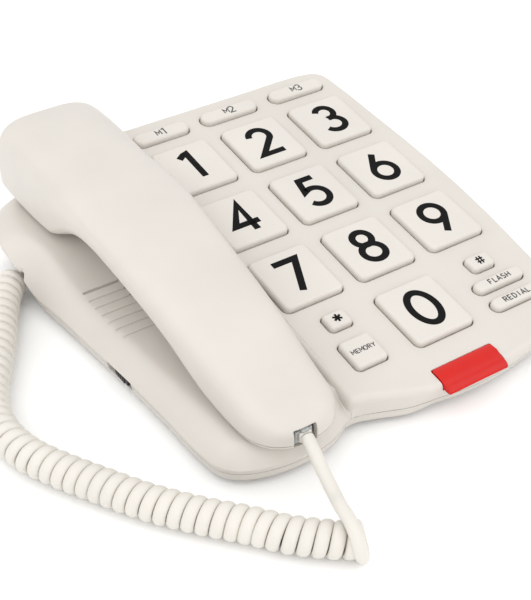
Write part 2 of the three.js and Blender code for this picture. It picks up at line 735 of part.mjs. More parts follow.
const handsetPlugFace = handsetWorld(handsetPlugX, jackFaceY - plugLength * 0.45 - clearance, handsetPlugZ);
const basePlugFace = new THREE.Vector3(0, -plugLength * 0.45 - clearance, 0).applyMatrix4(baseJackMatrix);
const handsetTail = [
  handsetPlugFace, [-51.5, -109, 21], [-52.5, -117, 17.5], [-51.5, -127, 12.5], [-48.6, -136, 8.6],
  [-48.6, -142, 7.5], [-52.2, -142.4, 7.3], [-55.6, -140.7, coilHeight],
];
// on the table, [x, y]
const coilPlan = [
  [-56, -140.5], [-63, -136], [-74.8, -125.6], [-84, -114.6], [-96.2, -101], [-107.8, -86.2],
  [-118.4, -69.2], [-127.2, -54.2], [-133.8, -40], [-136.2, -24], [-133, -7.4], [-124.5, 8.5],
  [-115, 25], [-108.3, 38], [-101.6, 49.4], [-93, 60],
];
const coilRoute = coilPlan.map(([x, y]) => [x, y, coilHeight]);
const baseTail = [[-92.7, 60.4, coilHeight + 0.1], [-88.5, 64.9, 8.5], basePlugFace.toArray()];

// ---------- assembly ----------
const phone = new THREE.Group();
const deck = new THREE.Group();
deck.position.set(deckX, deckY, deckHeight);
deck.rotation.x = deckTilt;
const handset = new THREE.Group();
handset.position.set(handsetX, 0, 0);
handset.rotation.z = handsetTurn;
phone.add(deck, handset);

function add(parent, name, shape, material) {
  const geometry = shape.isBufferGeometry ? shape : geometryOf(shape);
  const mesh = new THREE.Mesh(geometry, material);
  mesh.name = name;
  parent.add(mesh);
  return mesh;
}

add(phone, "base_bottom_shell", baseBottomShell(), ivory);
add(phone, "base_top_shell", baseTopShell(), ivory);
keys.forEach((key) => {
  const mesh = add(deck, key.name, keySolid(key), keyIvory);
  mesh.position.set(key.u, key.v, 0);
});
add(phone, "keypad_mat", sheet([innerSeam + 0.8 - deckX, 53.3], [-98, 73.2], matTop, matThickness), siliconeGrey);
add(phone, "main_board", sheet([-50, 50], [-90, 70], boardTop, boardThickness), boardGreen);

add(phone, "indicator_lens", lampSolid(0), lampRed);
const led = disc(1.5, floorTop + 0.1, floorTop + 4.8, 12).translate(lensCentreX, lensFront + 10.4, 0);
add(phone, "indicator_led", led, ledMaterial);

const speakerTop = cradleFloor - wall - clearance;
const speakerBody = disc(speaker.radius, speakerTop - speaker.height, speakerTop, 28);
add(phone, "ringer_speaker", along(speaker.x, speaker.y, speakerBody), blackPlastic);
add(phone, "ballast_plate", box(-71.5, -34, -60, -22, floorTop + clearance, floorTop + 4.3), steel);

const plungerTop = profile(handsetBottom, plungerY) - clearance;
const plungerLow = plungerTop - 13;
const plungerShape = [
  [0, plungerLow], [plungerFlange, plungerLow], [plungerFlange, plungerLow + 1.2],
  [plungerRadius, plungerLow + 1.2], [plungerRadius, plungerTop - 1], [plungerRadius - 1, plungerTop],
  [0, plungerTop],
].map(([x, z]) => new THREE.Vector2(x, z));
const plunger = new THREE.LatheGeometry(plungerShape, 14).rotateX(Math.PI / 2);
add(phone, "hook_plunger", along(axisX(plungerY), plungerY, plunger), innerIvory);
const hookX = axisX(plungerY);
const hookTop = plungerLow - clearance;
const hookSwitch = box(hookX - 6, hookX + 6, plungerY - 4, plungerY + 4, floorTop + clearance, hookTop);
add(phone, "hook_switch", hookSwitch, blackPlastic);

const windowHalf = ringerSwitch.length / 2;
const switchFront = ringerSwitch.y - windowHalf;
const switchRear = ringerSwitch.y + windowHalf;
const switchBody = box(switchX, switchX + 4, switchFront, switchRear, floorTop + clearance, 11);
add(phone, "ringer_switch_body", switchBody, blackPlastic);
const knobHalf = windowHalf - ringerSwitch.travel - clearance;
const knobLow = ringerSwitch.z - ringerSwitch.height / 2 + clearance;
const knobHigh = ringerSwitch.z + ringerSwitch.height / 2 - clearance;
const knob = box(10.1 - baseHalfWidth, switchX - clearance, ringerSwitch.y - knobHalf, ringerSwitch.y + knobHalf, knobLow, knobHigh);
add(phone, "ringer_switch_knob", knob, blackPlastic);

const baseSocket = jackSolid(
  baseJack.width, baseJack.height, baseJack.depth, socketWidth, socketHeight, socketDepth,
);
add(phone, "handset_jack_base", geometryOf(baseSocket).applyMatrix4(baseJackMatrix), innerIvory);
add(phone, "cord_plug_base", geometryOf(plugSolid()).applyMatrix4(baseJackMatrix), clearPlug);
const wallSocket = jackSolid(
  lineJack.width, lineJack.height, lineJack.depth, lineOpening.width, lineOpening.height, lineOpening.depth,
);
add(phone, "line_jack", lineJackPlace(geometryOf(wallSocket)).translate(0, -3, 0), blackPlastic);

feetPlaces.forEach(([x, y], i) => add(phone, `foot_${i + 1}`, along(x, y, footGeometry()), rubber));
screwPlaces.forEach(([x, y], i) => add(phone, `base_screw_${i + 1}`, along(x, y, screwGeometry()), steel));

add(handset, "handset_upper_shell", handsetUpperShell(), ivory);
add(handset, "handset_lower_shell", handsetLowerShell(), ivory);
const earFloor = profile(handsetBottom, earY) + wall + clearance;
add(handset, "receiver_capsule", disc(16, earFloor, earFloor + 8, 28).translate(0, earY, 0), blackPlastic);
const mouthFloor = profile(handsetBottom, mouthY) + wall + clearance;
const microphone = disc(5, mouthFloor, mouthFloor + 5, 16).translate(0, mouthY, 0);
add(handset, "microphone_capsule", microphone, blackPlastic);
add(handset, "handset_weight", box(-9, 9, 28, 48, 44, 50), steel);
const handsetSocket = jackSolid(
  handsetJack.width, handsetJack.height, handsetJack.depth, socketWidth, socketHeight, socketDepth,
);
const handsetPlace = (geometry) => geometry.translate(handsetPlugX, jackFaceY, handsetPlugZ);
add(handset, "handset_jack", handsetPlace(geometryOf(handsetSocket)), innerIvory);
add(handset, "cord_plug_handset", handsetPlace(geometryOf(plugSolid())), clearPlug);
handsetScrews.forEach((y, i) => add(handset, `handset_screw_${i + 1}`, handsetScrewGeometry(y), steel));

add(phone, "cord_tail_handset", tube(handsetTail, cordDiameter, 8, 16), cordIvory);
add(phone, "cord_coil", tube(coilRoute, coilDiameter, 12, 26), cordIvory);
add(phone, "cord_tail_base", tube(baseTail, cordDiameter, 8, 3), cordIvory);

export default phone;
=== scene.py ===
import bpy
import math
import numpy as np
from mathutils import Matrix, Vector
from mathutils.geometry import delaunay_2d_cdt


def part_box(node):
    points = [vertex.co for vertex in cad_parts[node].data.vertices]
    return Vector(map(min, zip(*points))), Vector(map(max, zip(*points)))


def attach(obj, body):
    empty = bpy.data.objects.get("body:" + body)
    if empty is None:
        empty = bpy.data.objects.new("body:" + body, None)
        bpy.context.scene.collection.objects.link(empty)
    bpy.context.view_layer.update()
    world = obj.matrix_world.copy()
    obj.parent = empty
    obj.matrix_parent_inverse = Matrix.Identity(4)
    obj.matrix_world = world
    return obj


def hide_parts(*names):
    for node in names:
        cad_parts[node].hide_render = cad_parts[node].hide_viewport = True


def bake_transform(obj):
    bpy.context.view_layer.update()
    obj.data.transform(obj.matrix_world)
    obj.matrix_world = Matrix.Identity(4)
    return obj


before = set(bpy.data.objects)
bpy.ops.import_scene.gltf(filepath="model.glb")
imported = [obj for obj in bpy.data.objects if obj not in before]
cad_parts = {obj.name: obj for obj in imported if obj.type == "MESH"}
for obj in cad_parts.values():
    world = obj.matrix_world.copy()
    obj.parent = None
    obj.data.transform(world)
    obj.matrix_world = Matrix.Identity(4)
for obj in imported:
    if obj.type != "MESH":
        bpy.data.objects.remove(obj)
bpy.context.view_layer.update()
mm = 0.001  # everything below is worked out in millimetres

# shared with every piece of the base
base = dict(
    foot=2.5,  # underside above the table
    split=7.0,  # joint of the two shells
    gap=0.3,
    wall=2.3,
    draft=4.5,
    flankDraft=1.2,  # round the cradle
    draftHeight=15.0,
    seam=-25.4,  # left edge of the keypad deck
    deckEdge=3.0,  # rounding of the deck's rim
)
deckPlace = dict(x=31.0, y=12.5, z=30.5, tilt=math.radians(7.53))
cradle = dict(
    floor=16.3,
    ear=27.0,  # shelf under the ear end
    run=11.0,  # width of the rolled edge
    noseRun=8.0,
    crease=9.0,  # height where the rolled edge meets the wall
    earCrease=21.5,
    fullness=1.8,
    mouthBowl=(-78, 15.5, 17, 4.8),  # y, half width, half length, depth
    earBowl=(78, 20.5, 20, 5.4),
)
handsetPlace = dict(x=-51.6, turn=math.radians(0.8))
handsetSocket = dict(x=-2.0, y=-97.0, z=22.1)  # middle of its mouth, in the handset
jackFace = Vector((-80, 74, 9))  # where the cord enters the base
jackTurn = math.radians(45)
deckMatrix = Matrix.Translation((deckPlace["x"], deckPlace["y"], deckPlace["z"])) @ Matrix.Rotation(
    deckPlace["tilt"], 4, "X"
)
handsetMatrix = Matrix.Translation((handsetPlace["x"], 0, 0)) @ Matrix.Rotation(
    handsetPlace["turn"], 4, "Z"
)
socketMatrix = handsetMatrix @ Matrix.Translation([handsetSocket[key] for key in "xyz"])
jackMatrix = Matrix.Translation(jackFace) @ Matrix.Rotation(-jackTurn, 4, "Z")


def placed(name, data):
    thing = bpy.data.objects.new(name, data)
    bpy.context.scene.collection.objects.link(thing)
    return thing


def aim(thing, place, direction):
    thing.location = place
    thing.rotation_mode = "QUATERNION"
    thing.rotation_quaternion = Vector(direction).to_track_quat("-Z", "Y")


# camera
def makeCamera():
    settings = dict(place=(-0.23875, -0.3584, 0.3348), look=(0.4316, 0.6544, -0.6209), lens=75)
    data = bpy.data.cameras.new("camera")
    data.lens = settings["lens"]
    data.clip_start = 0.01
    data.clip_end = 50
    camera = placed("camera", data)
    aim(camera, settings["place"], settings["look"])
    bpy.context.scene.camera = camera
    print("camera placed")


# finishes
def nodeTree(material):
    material.use_nodes = True
    nodes = material.node_tree.nodes
    nodes.clear()
    output = nodes.new("ShaderNodeOutputMaterial")
    shader = nodes.new("ShaderNodeBsdfPrincipled")
    material.node_tree.links.new(shader.outputs["BSDF"], output.inputs["Surface"])
    return nodes, material.node_tree.links, shader


def noiseNode(nodes, links, place, scale, detail=2.0):
    noise = nodes.new("ShaderNodeTexNoise")
    noise.inputs["Scale"].default_value = scale
    noise.inputs["Detail"].default_value = detail
    links.new(place, noise.inputs["Vector"])
    return noise


def moulded(name, color, roughness=0.42, grain=0.1, grainSize=0.5, cloud=0.03, uneven=0.05, **sockets):
    # grainSize in mm; cloud is how far the colour drifts, uneven how far the gloss does
    material = bpy.data.materials.new(name)
    nodes, links, shader = nodeTree(material)
    place = nodes.new("ShaderNodeTexCoord").outputs["Object"]
    drift = noiseNode(nodes, links, place, 28, 4)
    tones = nodes.new("ShaderNodeValToRGB")
    tones.color_ramp.elements[0].position = 0.3
    tones.color_ramp.elements[1].position = 0.7
    tones.color_ramp.elements[0].color = [c * (1 - cloud) for c in color] + [1]
    tones.color_ramp.elements[1].color = [min(1, c * (1 + cloud)) for c in color] + [1]
    links.new(drift.outputs["Fac"], tones.inputs["Fac"])
    links.new(tones.outputs["Color"], shader.inputs["Base Color"])
    sheen = noiseNode(nodes, links, place, 160, 3)
    gloss = nodes.new("ShaderNodeMapRange")
    gloss.inputs["To Min"].default_value = roughness - uneven
    gloss.inputs["To Max"].default_value = roughness + uneven
    links.new(sheen.outputs["Fac"], gloss.inputs["Value"])
    links.new(gloss.outputs["Result"], shader.inputs["Roughness"])
    spark = noiseNode(nodes, links, place, 1000 / grainSize, 2)
    bump = nodes.new("ShaderNodeBump")
    bump.inputs["Strength"].default_value = grain
    bump.inputs["Distance"].default_value = 0.0001
    links.new(spark.outputs["Fac"], bump.inputs["Height"])
    links.new(bump.outputs["Normal"], shader.inputs["Normal"])
    for socket, value in sockets.items():
        shader.inputs[socket.replace("_", " ")].default_value = value
    return material


def makeFinishes():
    return dict(
        ivory=moulded("ivoryCase", (0.6, 0.565, 0.52), 0.42, 0.12),
        keys=moulded("ivoryKey", (0.625, 0.59, 0.545), 0.4, 0.08),
        inner=moulded("ivoryInner", (0.6, 0.57, 0.51), 0.5),
        cord=moulded("cordJacket", (0.67, 0.64, 0.585), 0.42, 0.06, 0.9),
        print=moulded(
            "blackPrint", (0.006, 0.006, 0.006), 0.75, 0.15, 0.25, 0.15, Specular_IOR_Level=0.1
        ),
        softPrint=moulded("greyPrint", (0.05, 0.05, 0.048), 0.5, 0.15, 0.25, 0.15),
        lamp=moulded(
            "lampRed", (0.5, 0.006, 0.002), 0.25, 0.05, 1.2, 0.12, 0.04, Specular_IOR_Level=0.3,
            Coat_Weight=0.1,
        ),
        black=moulded("blackPlastic", (0.016, 0.016, 0.017), 0.42, 0.2, 0.6, 0.1),
        rubber=moulded("footRubber", (0.03, 0.03, 0.031), 0.8, 0.3, 0.7, 0.1),
        clear=moulded(
            "plugClear", (0.82, 0.84, 0.82), 0.14, 0.04, 1, 0.02, 0.03, Transmission_Weight=0.55, IOR=1.58
        ),
        contact=moulded("contactGold", (0.72, 0.5, 0.17), 0.25, 0.05, 0.4, 0.05, 0.06, Metallic=1.0),
        steel=moulded("screwSteel", (0.42, 0.42, 0.43), 0.34, 0.12, 0.35, 0.08, 0.08, Metallic=1.0),
        board=moulded("boardGreen", (0.03, 0.14, 0.05), 0.45, 0.25, 1.0, 0.2),
        silicone=moulded("matSilicone", (0.38, 0.38, 0.36), 0.65, 0.2, 0.8, 0.05),
        led=moulded("ledClear", (0.8, 0.78, 0.72), 0.2, 0.03, 1, 0.03, 0.04, Transmission_Weight=0.4),
        floor=moulded("studioFloor", (0.96, 0.96, 0.955), 0.8, 0.02, 2.0, 0.004),
    )


# mesh tools, in millimetres
def makePiece(name, points, faces, material, matrix=None):
    data = bpy.data.meshes.new(name)
    corners = [matrix @ Vector(p) for p in points] if matrix else [Vector(p) for p in points]
    data.from_pydata([p * mm for p in corners], [], [tuple(int(i) for i in face) for face in faces])
    data.materials.append(material)
    return placed(name, data)


def soften(piece, angle=32, weighted=True):
    piece.data.shade_smooth()
    piece.data.set_sharp_from_angle(angle=math.radians(angle))
    if weighted:
        modifier = piece.modifiers.new("even shading", "WEIGHTED_NORMAL")
        modifier.keep_sharp = True
    return piece


def loft(rings, ends=(True, True)):
    # rings of equal count, each anticlockwise as seen from where the stack is going
    sides = len(rings[0])
    points = [p for ring in rings for p in ring]
    faces = []
    for r in range(len(rings) - 1):
        for i in range(sides):
            j = (i + 1) % sides
            faces.append((r * sides + i, r * sides + j, (r + 1) * sides + j, (r + 1) * sides + i))
    if ends[0]:
        faces.append(tuple(reversed(range(sides))))
    if ends[1]:
        faces.append(tuple((len(rings) - 1) * sides + i for i in range(sides)))
    return points, faces


def pointed(rings, tips):
    # a stack of rings closed by one point at each end
    sides = len(rings[0])
    points, faces = loft(rings, (False, False))
    points += tips
    last = (len(rings) - 1) * sides
    for i in range(sides):
        j = (i + 1) % sides
        faces.append((len(points) - 2, j, i))
        faces.append((len(points) - 1, last + i, last + j))
    return points, faces


def lathe(outline, sides):
    # outline of (radius, height) from the axis at the bottom to the axis at the top
    rings = []
    for radius, height in outline[1:-1]:
        turn = [2 * math.pi * i / sides for i in range(sides)]
        rings.append([(radius * math.cos(a), radius * math.sin(a), height) for a in turn])
    return pointed(rings, [(0, 0, outline[0][1]), (0, 0, outline[-1][1])])


def roundPiece(name, outline, material, matrix, sides=40):
    return makePiece(name, *lathe(outline, sides), material, matrix)


def roundedRect(sizeX, sizeY, corner, steps=8):
    points = []
    for quarter, (sx, sy) in enumerate(((1, 1), (-1, 1), (-1, -1), (1, -1))):
        for i in range(steps + 1):
            angle = (quarter + i / steps) * math.pi / 2
            x = sx * (sizeX / 2 - corner) + corner * math.cos(angle)
            y = sy * (sizeY / 2 - corner) + corner * math.sin(angle)
            points.append((x, y))
    return points


def boxPiece(name, low, high, material, matrix=None, edge=0.0):
    # a block with rounded upright and level edges
    sizeX, sizeY = high[0] - low[0], high[1] - low[1]
    midX, midY = (high[0] + low[0]) / 2, (high[1] + low[1]) / 2
    corner = max(edge, 0.01)
    rings = []
    turns = (0, 0.5, 1.05, 1.57)
    levels = [(corner * (1 - math.sin(a)), low[2] + corner * (1 - math.cos(a))) for a in turns]
    levels += [(inset, high[2] + low[2] - z) for inset, z in reversed(levels)]
    for inset, z in levels:
        outline = roundedRect(sizeX - 2 * inset, sizeY - 2 * inset, max(corner - inset, 0.004), 4)
        rings.append([(midX + x, midY + y, z) for x, y in outline])
    return makePiece(name, *loft(rings), material, matrix)


def joined(name, pieces):
    # several closed bodies as one object
    data = bpy.data.meshes.new(name)
    points, faces, slots = [], [], []
    for piece in pieces:
        start = len(points)
        points += [v.co.copy() for v in piece.data.vertices]
        faces += [tuple(start + i for i in polygon.vertices) for polygon in piece.data.polygons]
        slots += [piece.data.materials[0]] * len(piece.data.polygons)
    data.from_pydata(points, [], faces)
    kinds = list(dict.fromkeys(slots))
    for kind in kinds:
        data.materials.append(kind)
    for polygon, slot in zip(data.polygons, slots):
        polygon.material_index = kinds.index(slot)
    for piece in pieces:
        bpy.data.objects.remove(piece)
    return placed(name, data)


def carve(piece, cutter, operation="DIFFERENCE"):
    modifier = piece.modifiers.new("carve", "BOOLEAN")
    modifier.solver = "MANIFOLD"
    modifier.operation = operation
    modifier.object = cutter
    bpy.context.view_layer.update()
    shaped = bpy.data.meshes.new_from_object(piece.evaluated_get(bpy.context.evaluated_depsgraph_get()))
    piece.modifiers.clear()
    if len(shaped.polygons) == 0:
        print("  nothing left after carving", piece.name, "with", cutter.name)
    else:
        piece.data = shaped
    bpy.data.objects.remove(cutter)


def smooth(x, start, end):
    t = np.clip((np.asarray(x, float) - start) / (end - start), 0, 1)
    return t * t * (3 - 2 * t)


def profile(table, at):
    # smooth curve through (place, value) pairs
    places = np.array([pair[0] for pair in table], float)
    values = np.array([pair[1] for pair in table], float)
    at = np.clip(np.asarray(at, float), places[0], places[-1])
    last = len(table) - 1
    before, after = np.maximum(np.arange(last + 1) - 1, 0), np.minimum(np.arange(last + 1) + 1, last)
    slopes = (values[after] - values[before]) / (places[after] - places[before])
    i = np.clip(np.searchsorted(places, at, side="right") - 1, 0, last - 1)
    span = places[i + 1] - places[i]
    t = (at - places[i]) / span
    rise = t * t * (3 - 2 * t)
    bends = t * (1 - t) ** 2 * span * slopes[i] - t * t * (1 - t) * span * slopes[i + 1]
    return values[i] + (values[i + 1] - values[i]) * rise + bends


def smoothCurve(points, spacing, closed=False):
    # evenly spaced points on a centripetal curve through the given ones
    points = [Vector(p) for p in points]
    count = len(points)
    fine = []
    for k in range(count if closed else count - 1):
        if closed:
            p0, p1, p2, p3 = (points[(k + s) % count] for s in (-1, 0, 1, 2))
        else:
            p1, p2 = points[k], points[k + 1]
            p0 = points[k - 1] if k else 2 * p1 - p2
            p3 = points[k + 2] if k + 2 < count else 2 * p2 - p1
        d0, d1, d2 = ((b - a).length ** 0.5 for a, b in ((p0, p1), (p1, p2), (p2, p3)))
        m1 = ((p1 - p0) / d0 - (p2 - p0) / (d0 + d1) + (p2 - p1) / d1) * d1
        m2 = ((p2 - p1) / d1 - (p3 - p1) / (d1 + d2) + (p3 - p2) / d2) * d1
        steps = max(2, int((p2 - p1).length / spacing * 3))
        for s in range(steps):
            t = s / steps
            bend = (2 * t**3 - 3 * t**2 + 1) * p1 + (t**3 - 2 * t**2 + t) * m1
            fine.append(bend + (3 * t**2 - 2 * t**3) * p2 + (t**3 - t**2) * m2)
    fine.append(points[0] if closed else points[-1])
    lengths = np.cumsum([0] + [(b - a).length for a, b in zip(fine, fine[1:])])
    total = lengths[-1]
    number = max(2, int(round(total / spacing)))
    wanted = np.linspace(0, total, number + 1)[: number if closed else number + 1]
    coords = np.array([list(p) for p in fine])
    return np.stack([np.interp(wanted, lengths, coords[:, axis]) for axis in range(3)], axis=1)


def bendRadius(a, b, c):
    # radius of the circle through three points
    area = (b - a).cross(c - a).length
    return (a - b).length * (b - c).length * (c - a).length / max(2 * area, 1e-9)


def flatRings(path, middles, flat, radius, thin, sides=16):
    # section flattened towards the middle of the coil, round where flat is 0
    rings = []
    side = None
    for i, point in enumerate(path):
        ahead = (path[min(i + 1, len(path) - 1)] - path[max(i - 1, 0)]).normalized()
        if side is None:
            side = ahead.orthogonal().normalized()
        side = (side - ahead * side.dot(ahead)).normalized()
        outward = point - middles[i]
        outward -= ahead * outward.dot(ahead)
        if flat[i] > 0.01 and outward.length > 1e-6:
            outward.normalize()
            outward = outward if outward.dot(side) > -0.2 or flat[i] > 0.3 else -outward
            side = side.lerp(outward, flat[i]).normalized()
        other = ahead.cross(side)
        depth = radius + (thin - radius) * flat[i]
        turns = [2 * math.pi * k / sides for k in range(sides)]
        rings.append([point + depth * math.cos(a) * side + radius * math.sin(a) * other for a in turns])
    return rings


# cord
curlyCord = dict(
    diameter=5.0,
    coilRadius=5.2,  # centre of the cord from the middle of the coil
    pitch=5.1,
    thickness=3.4,  # the jacket is flattened against the coil
    # down from the handset, then over the end of the coil
    tail=[(-53.4, -109, 20.4), (-54.1, -113, 18.6), (-56.8, -125.9, 16.2), (-58.6, -131.5, 17.2)],
    # middle of the coil, from its free end round to the base
    route=[
        (-56, -140.5), (-63, -136), (-74.8, -125.6), (-84, -114.6), (-96.2, -101), (-107.8, -86.2),
        (-118.4, -69.2), (-127.2, -54.2), (-133.8, -40), (-136.2, -24), (-133, -7.4), (-124.5, 8.5),
        (-115, 25), (-108.3, 38), (-101.6, 49.4), (-93, 60),
    ],
    height=7.2,
    # along the coil, turn round it in degrees from the top over the front, distance from its middle
    landing=[(4.2, 0, 9.4), (2.2, 40, 8.6), (0.6, 85, 6.9), (-0.1, 130, 5.6)],
)


def makeCord(finishes):
    settings = curlyCord
    height = settings["height"]
    axis = smoothCurve([(x, y, height) for x, y in settings["route"]], 0.5)
    steps = np.linalg.norm(np.diff(axis, axis=0), axis=1)
    along = np.concatenate([[0], np.cumsum(steps)])
    total = along[-1]

    def onCoil(s, turn, radius):
        middle = Vector([np.interp(s, along, axis[:, k]) for k in range(3)])
        ahead = Vector([np.interp(s + 1, along, axis[:, k]) for k in range(3)])
        behind = Vector([np.interp(s - 1, along, axis[:, k]) for k in range(3)])
        direction = (ahead - behind).normalized()
        if s < 0:
            middle += direction * s
        front = Vector((0, 0, 1)).cross(direction)
        return middle + radius * (math.cos(turn) * Vector((0, 0, 1)) + math.sin(turn) * front)

    tail = [socketMatrix @ Vector((0, -5.25, 0))] + [Vector(p) for p in settings["tail"]]
    tail += [onCoil(s, math.radians(turn), radius) for s, turn, radius in settings["landing"]]
    turns = round((total - 1.5) / settings["pitch"]) + 0.12  # leaves the coil rising towards the base
    helix = []
    perTurn = 26
    number = int(turns * perTurn)
    for k in range(number + 1):
        share = k / number
        turn = math.pi + share * turns * 2 * math.pi
        left = (1 - share) * turns
        roundness = 1 - float(smooth(min(k, number - k), 0, perTurn))
        radius = (settings["coilRadius"] - 0.9 * roundness) * float(smooth(left, -2.2, 1.2))
        helix.append(onCoil(-0.3 + share * (total - 0.6), turn, radius))
    end = [jackMatrix @ Vector((0, -9.5, 0)), jackMatrix @ Vector((0, -5.25, 0))]
    start = smoothCurve(tail + helix[:2], 1.2)
    finish = smoothCurve([helix[-2], helix[-1]] + end, 1.2)
    path = [Vector(p) for p in start] + helix[2:-1] + [Vector(p) for p in finish]
    # no two points in one place
    path = [p for k, p in enumerate(path) if k == 0 or (p - path[k - 1]).length > 0.25]
    first, last = len(start), len(path) - len(finish)
    flat = [float(smooth(min(k - first, last - k), 0, perTurn)) for k in range(len(path))]
    middles = []
    for point in path:
        nearest = int(np.argmin(np.linalg.norm(axis - np.array(point), axis=1)))
        middles.append(Vector(axis[nearest]))
    rings = flatRings(path, middles, flat, settings["diameter"] / 2, settings["thickness"] / 2)
    cord = soften(makePiece("curlyCord", *loft(rings), finishes["cord"]), 60, False)
    length = sum((b - a).length for a, b in zip(path, path[1:]))
    bends = [bendRadius(*path[k - 4 : k + 5 : 4]) for k in range(4, len(path) - 4)]
    print("cord", round(length), "mm long,", round(turns, 1), "turns")
    print("tightest bend", round(min(bends), 1), "mm")
    return cord, [p * mm for p in path], length * mm


def plugPieces(name, matrix, finishes):
    # the small clear plug with its latch and four contacts; the socket's mouth is at y = 0
    settings = dict(width=7.6, height=6.4, back=-3.3, front=7.6)
    width, height = settings["width"] / 2, settings["height"] / 2
    clear = finishes["clear"]
    corners = ((-width, settings["back"], -height), (width, settings["front"], height - 1))
    body = boxPiece("body", *corners, clear, matrix, 0.5)
    latch = boxPiece("latch", (-1.6, -4.6, height - 1.1), (1.6, 4.4, height), clear, matrix, 0.25)
    boot = boxPiece("boot", (-2.6, -4.8, -2.4), (2.6, -3.1, 2.0), finishes["cord"], matrix, 0.7)
    contacts = []
    for k in range(4):
        x = (k - 1.5) * 1.25
        corners = ((x - 0.25, 3.8, -height - 0.05), (x + 0.25, 7.7, -height + 1.2))
        contacts.append(boxPiece("contact", *corners, finishes["contact"], matrix, 0.08))
    return soften(joined(name, [body, latch, boot] + contacts))


# base form
rimPoints = [
    (88, 88.5), (81, 91.6), (40, 92.3), (0, 92.5), (-24, 93), (-36, 96.5), (-54, 99), (-73, 96.5),
    (-87, 87.5), (-93.9, 72), (-94.3, 58), (-92.6, 42), (-90, 26), (-86.9, -5), (-84.8, -27),
    (-83.1, -51), (-81.9, -76), (-80, -86), (-75, -92), (-66, -96.2), (-54, -98.4), (-42, -98),
    (-34, -96.2), (-28.5, -93.4), (-25.5, -91.9), (-21, -91.9), (-14, -94.2), (-6, -97.4), (6, -101.8),
    (22, -104.6), (40, -104.8), (58, -102.4), (74, -98.2), (85, -91.5), (89.8, -81), (91.4, -62),
    (93.6, -34), (94.5, -8), (93.9, 22), (92.2, 50), (90.6, 74),
]
rim = smoothCurve([(x, y, 0) for x, y in rimPoints], 1.6, True)[:, :2]


def rimDistance(points):
    points = np.asarray(points, float)
    nearest = np.full(len(points), 1e9)
    for start, end in zip(rim, np.roll(rim, -1, axis=0)):
        along = end - start
        t = np.clip(((points - start) @ along) / (along @ along), 0, 1)
        nearest = np.minimum(nearest, np.linalg.norm(points - start - t[:, None] * along, axis=1))
    return nearest


def deckTop(y):
    return deckPlace["z"] + (np.asarray(y, float) - deckPlace["y"]) * math.tan(deckPlace["tilt"])


def bowl(points, y, radiusX, radiusY, depth):
    x = handsetPlace["x"] - y * math.tan(handsetPlace["turn"])
    away = np.hypot((points[:, 0] - x) / radiusX, (points[:, 1] - y) / radiusY)
    return depth * np.sqrt(np.maximum(0, 1 - away * away))


def edgeRun(points):
    run = cradle["run"] + (cradle["noseRun"] - cradle["run"]) * smooth(-points[:, 1], 74, 92)
    crease = cradle["crease"] + (cradle["earCrease"] - cradle["crease"]) * smooth(points[:, 1], 36, 66)
    return run, crease


def cradleTop(points):
    points = np.asarray(points, float)
    shelf = cradle["floor"] + (cradle["ear"] - cradle["floor"]) * smooth(points[:, 1], 16, 50)
    run, crease = edgeRun(points)
    near = np.maximum(0, 1 - rimDistance(points) / run)
    rolled = (shelf - crease) * near ** cradle["fullness"]
    return shelf - rolled - bowl(points, *cradle["mouthBowl"]) - bowl(points, *cradle["earBowl"])


def tuck(points):
    away = np.maximum(smooth(points[:, 1], 30, 55), smooth(points[:, 0], -5, 12))
    return base["flankDraft"] + (base["draft"] - base["flankDraft"]) * away


def moveIn(outline, amount):
    before, after = np.roll(outline, 1, axis=0), np.roll(outline, -1, axis=0)
    along = after - before
    along /= np.linalg.norm(along, axis=1)[:, None]
    inward = np.stack([-along[:, 1], along[:, 0]], axis=1)
    return outline + inward * np.reshape(amount, (-1, 1))


def relax(outline, rounds):
    # rounds off the corners of a closed outline
    for k in range(rounds):
        middle = (np.roll(outline, 1, axis=0) + np.roll(outline, -1, axis=0)) / 2
        outline = outline * 0.5 + middle * 0.5
    return outline


def deckOutline(shrink):
    right = [i for i in range(len(rim)) if rim[i][0] > base["seam"]]
    first = next(i for i in right if (i - 1) % len(rim) not in right)
    ordered = [rim[(first + k) % len(rim)] for k in range(len(right))]
    rear, front = ordered[-1][1], ordered[0][1]
    seamRun = [np.array([base["seam"], y]) for y in np.arange(rear - 0.3, front, -1.6)]
    outline = relax(np.array(ordered + seamRun), 6)
    return moveIn(outline, shrink) if shrink else outline


def draftTop(points):
    left = points[:, 0] < base["seam"] - 0.5
    return np.where(left, edgeRun(points)[1], base["draftHeight"])


def skirtInset(points, z):
    share = np.clip(1 - (z - base["foot"]) / (draftTop(points) - base["foot"]), 0, 1)
    return tuck(points) * share


def deckBlock(name, shrink, material):
    outline = deckOutline(shrink)
    bottom = base["split"] if not shrink else 0.0
    edge = base["deckEdge"] if not shrink else 1.0
    top = deckTop(outline[:, 1]) - edge - shrink
    onSeam = np.abs(outline[:, 0] - base["seam"]) < 3 + shrink
    rings = []
    for share in np.linspace(0, 1, 9):
        z = bottom + (top - bottom) * share
        # the seam side is upright
        inset = np.where(onSeam, 0, skirtInset(outline, z))
        rings.append(np.column_stack([moveIn(outline, inset), z]))
    for k in range(1, 8):
        angle = k / 7 * math.pi / 2
        z = top + edge * math.sin(angle)
        inset = np.where(onSeam, 0, skirtInset(outline, z)) + edge * (1 - math.cos(angle))
        moved = moveIn(outline, inset)
        z += deckTop(moved[:, 1]) - deckTop(outline[:, 1])
        rings.append(np.column_stack([moved, z]))
    return makePiece(name, *loft(rings), material)


